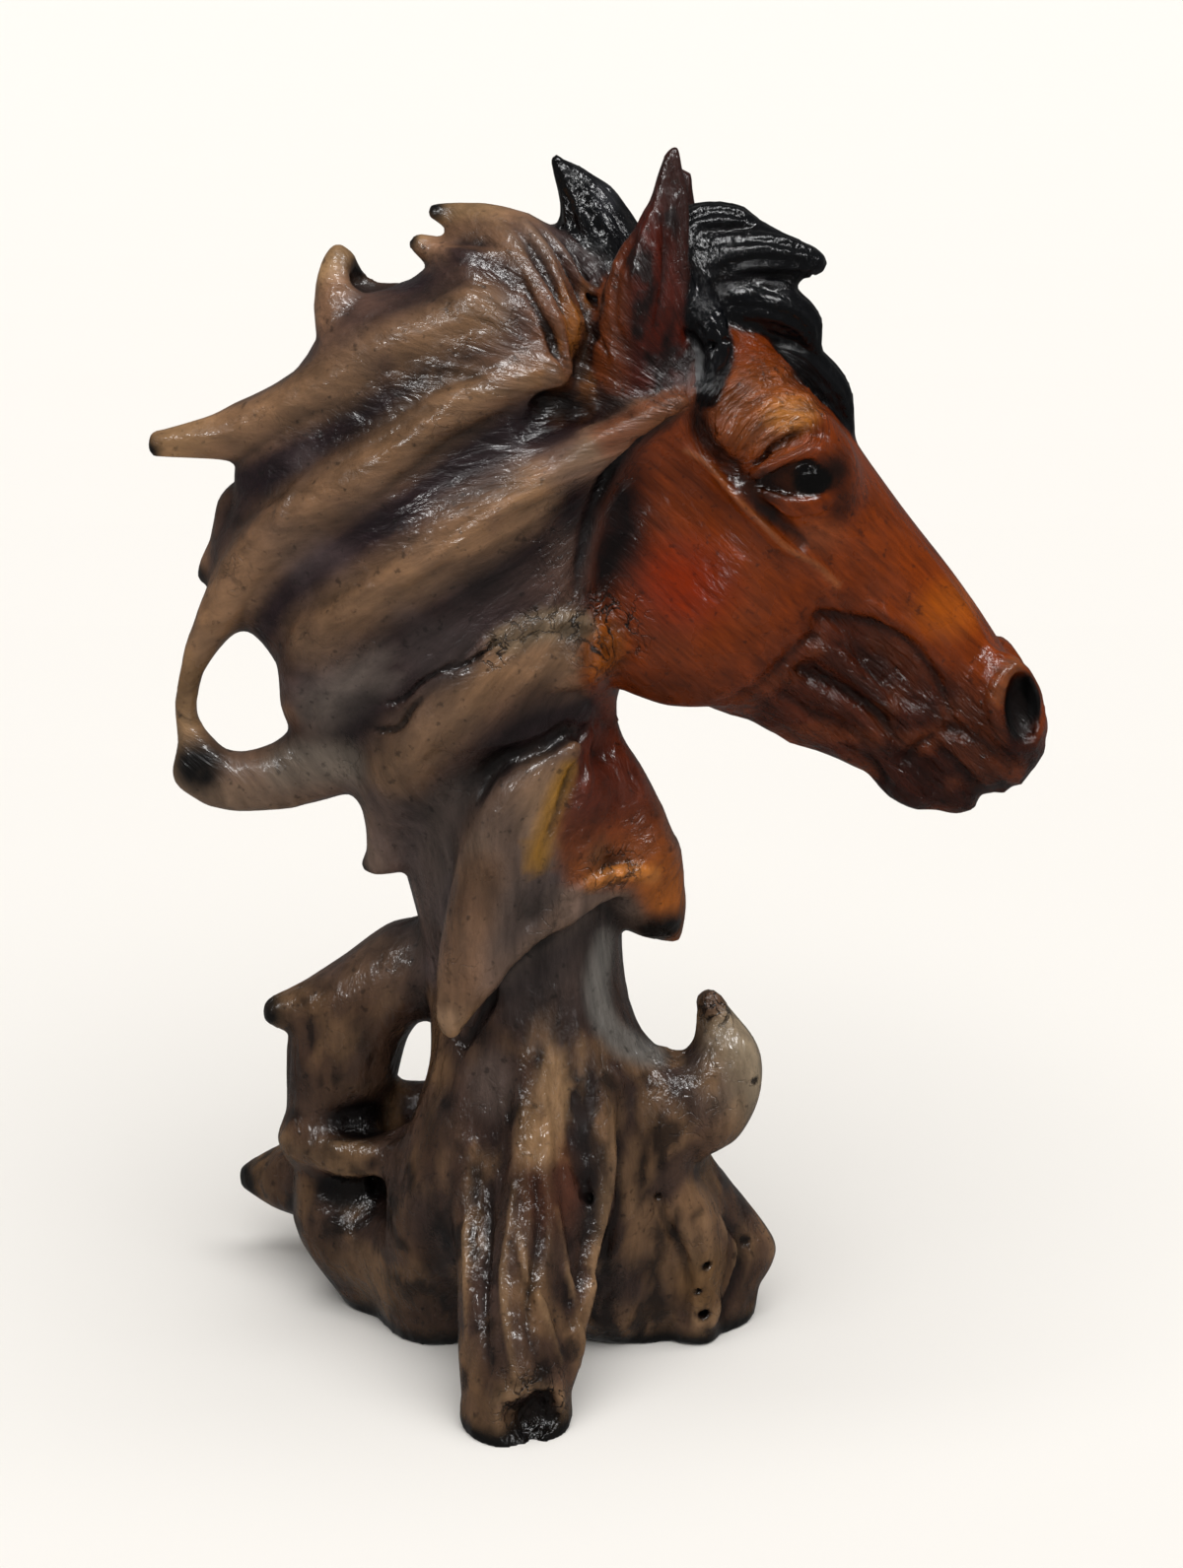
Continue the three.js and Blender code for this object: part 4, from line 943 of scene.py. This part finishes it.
def plain_material(name, rgb):
    """Matt paper with a faint tooth."""
    material = bpy.data.materials.new(name)
    material.use_nodes = True
    nodes = Nodes(material)
    shader = material.node_tree.nodes["Principled BSDF"]
    shader.inputs["Base Color"].default_value = (*rgb, 1)
    shader.inputs["Roughness"].default_value = 0.9
    shader.inputs["Specular IOR Level"].default_value = 0.1
    tooth = nodes.add("TexNoise", {"Scale": 900.0})
    bump = nodes.add("Bump", {"Height": tooth.outputs["Fac"], "Strength": 0.02, "Distance": 0.0002})
    material.node_tree.links.new(bump.outputs[0], shader.inputs["Normal"])
    return material


def floor():
    """Wide pale floor that rises gently far behind, so that it fills the picture to its top."""
    bpy.ops.mesh.primitive_grid_add(x_subdivisions=2, y_subdivisions=80, size=24)
    ground = bpy.context.object
    ground.name = "floor"
    for vertex in ground.data.vertices:
        vertex.co.z = 0.03 * max(vertex.co.y - 0.4, 0) ** 2
    ground.data.materials.append(plain_material("pale_paper", (0.86, 0.83, 0.785)))
    ground.visible_glossy = False


def lamp(name, kind, at, energy, **settings):
    """Light at a place in metres that faces the middle of the sculpture."""
    light = bpy.data.lights.new(name, kind)
    light.energy = energy
    for setting, value in settings.items():
        setattr(light, setting, value)
    holder = bpy.data.objects.new(name, light)
    bpy.context.scene.collection.objects.link(holder)
    holder.location = at
    away = holder.location - Vector((0.01, 0, 0.18))
    holder.rotation_euler = away.to_track_quat("Z", "Y").to_euler()
    return holder


def studio():
    """Dim tent under a broad soft sky that lights the wood; the softboxes show in the varnish alone."""
    world = bpy.data.worlds.new("tent")
    bpy.context.scene.world = world
    world.use_nodes = True
    background = world.node_tree.nodes["Background"]
    background.inputs["Color"].default_value = (1.0, 0.985, 0.96, 1)
    background.inputs["Strength"].default_value = 0.1
    sky = lamp("sky", "SUN", (0.2, -0.5, 1.6), 3.5, angle=math.radians(75))
    sky.visible_glossy = False
    boxes = {
        "top_box": ((-0.1, -0.5, 1.15), 5, 0.28), "right_box": ((0.65, -0.55, 1.1), 5, 0.28),
        "left_box": ((-0.7, -0.8, 0.9), 3, 0.2), "front_box": ((0.44, -0.95, 0.43), 0.3, 0.06),
    }
    for name, (at, energy, size) in boxes.items():
        lamp(name, "AREA", at, energy, shape="DISK", size=size).visible_diffuse = False
    bpy.context.scene.view_settings.view_transform = "Standard"


def camera():
    """Upright view of the near side, a little from above."""
    lens = bpy.data.cameras.new("camera")
    lens.lens = 58
    lens.sensor_width = 36
    lens.clip_start = 0.01
    eye = bpy.data.objects.new("camera", lens)
    bpy.context.scene.collection.objects.link(eye)
    eye.location = (0.020, -0.663, 0.351)
    eye.rotation_euler = (math.radians(74), 0, 0)
    bpy.context.scene.camera = eye


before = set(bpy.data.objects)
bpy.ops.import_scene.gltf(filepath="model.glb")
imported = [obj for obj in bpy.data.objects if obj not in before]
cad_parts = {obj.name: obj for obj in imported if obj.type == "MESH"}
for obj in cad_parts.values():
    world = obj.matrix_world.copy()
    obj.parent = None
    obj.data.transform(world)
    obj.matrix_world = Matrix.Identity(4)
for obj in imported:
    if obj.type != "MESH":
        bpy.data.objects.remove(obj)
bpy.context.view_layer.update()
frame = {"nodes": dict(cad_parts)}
camera()
clay = carved(frame)
horse_head = new_piece(clay)
stained(clay, horse_head)
horse_head.data.materials.append(varnish())
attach(horse_head, "root")
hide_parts(NODE)
floor()
studio()
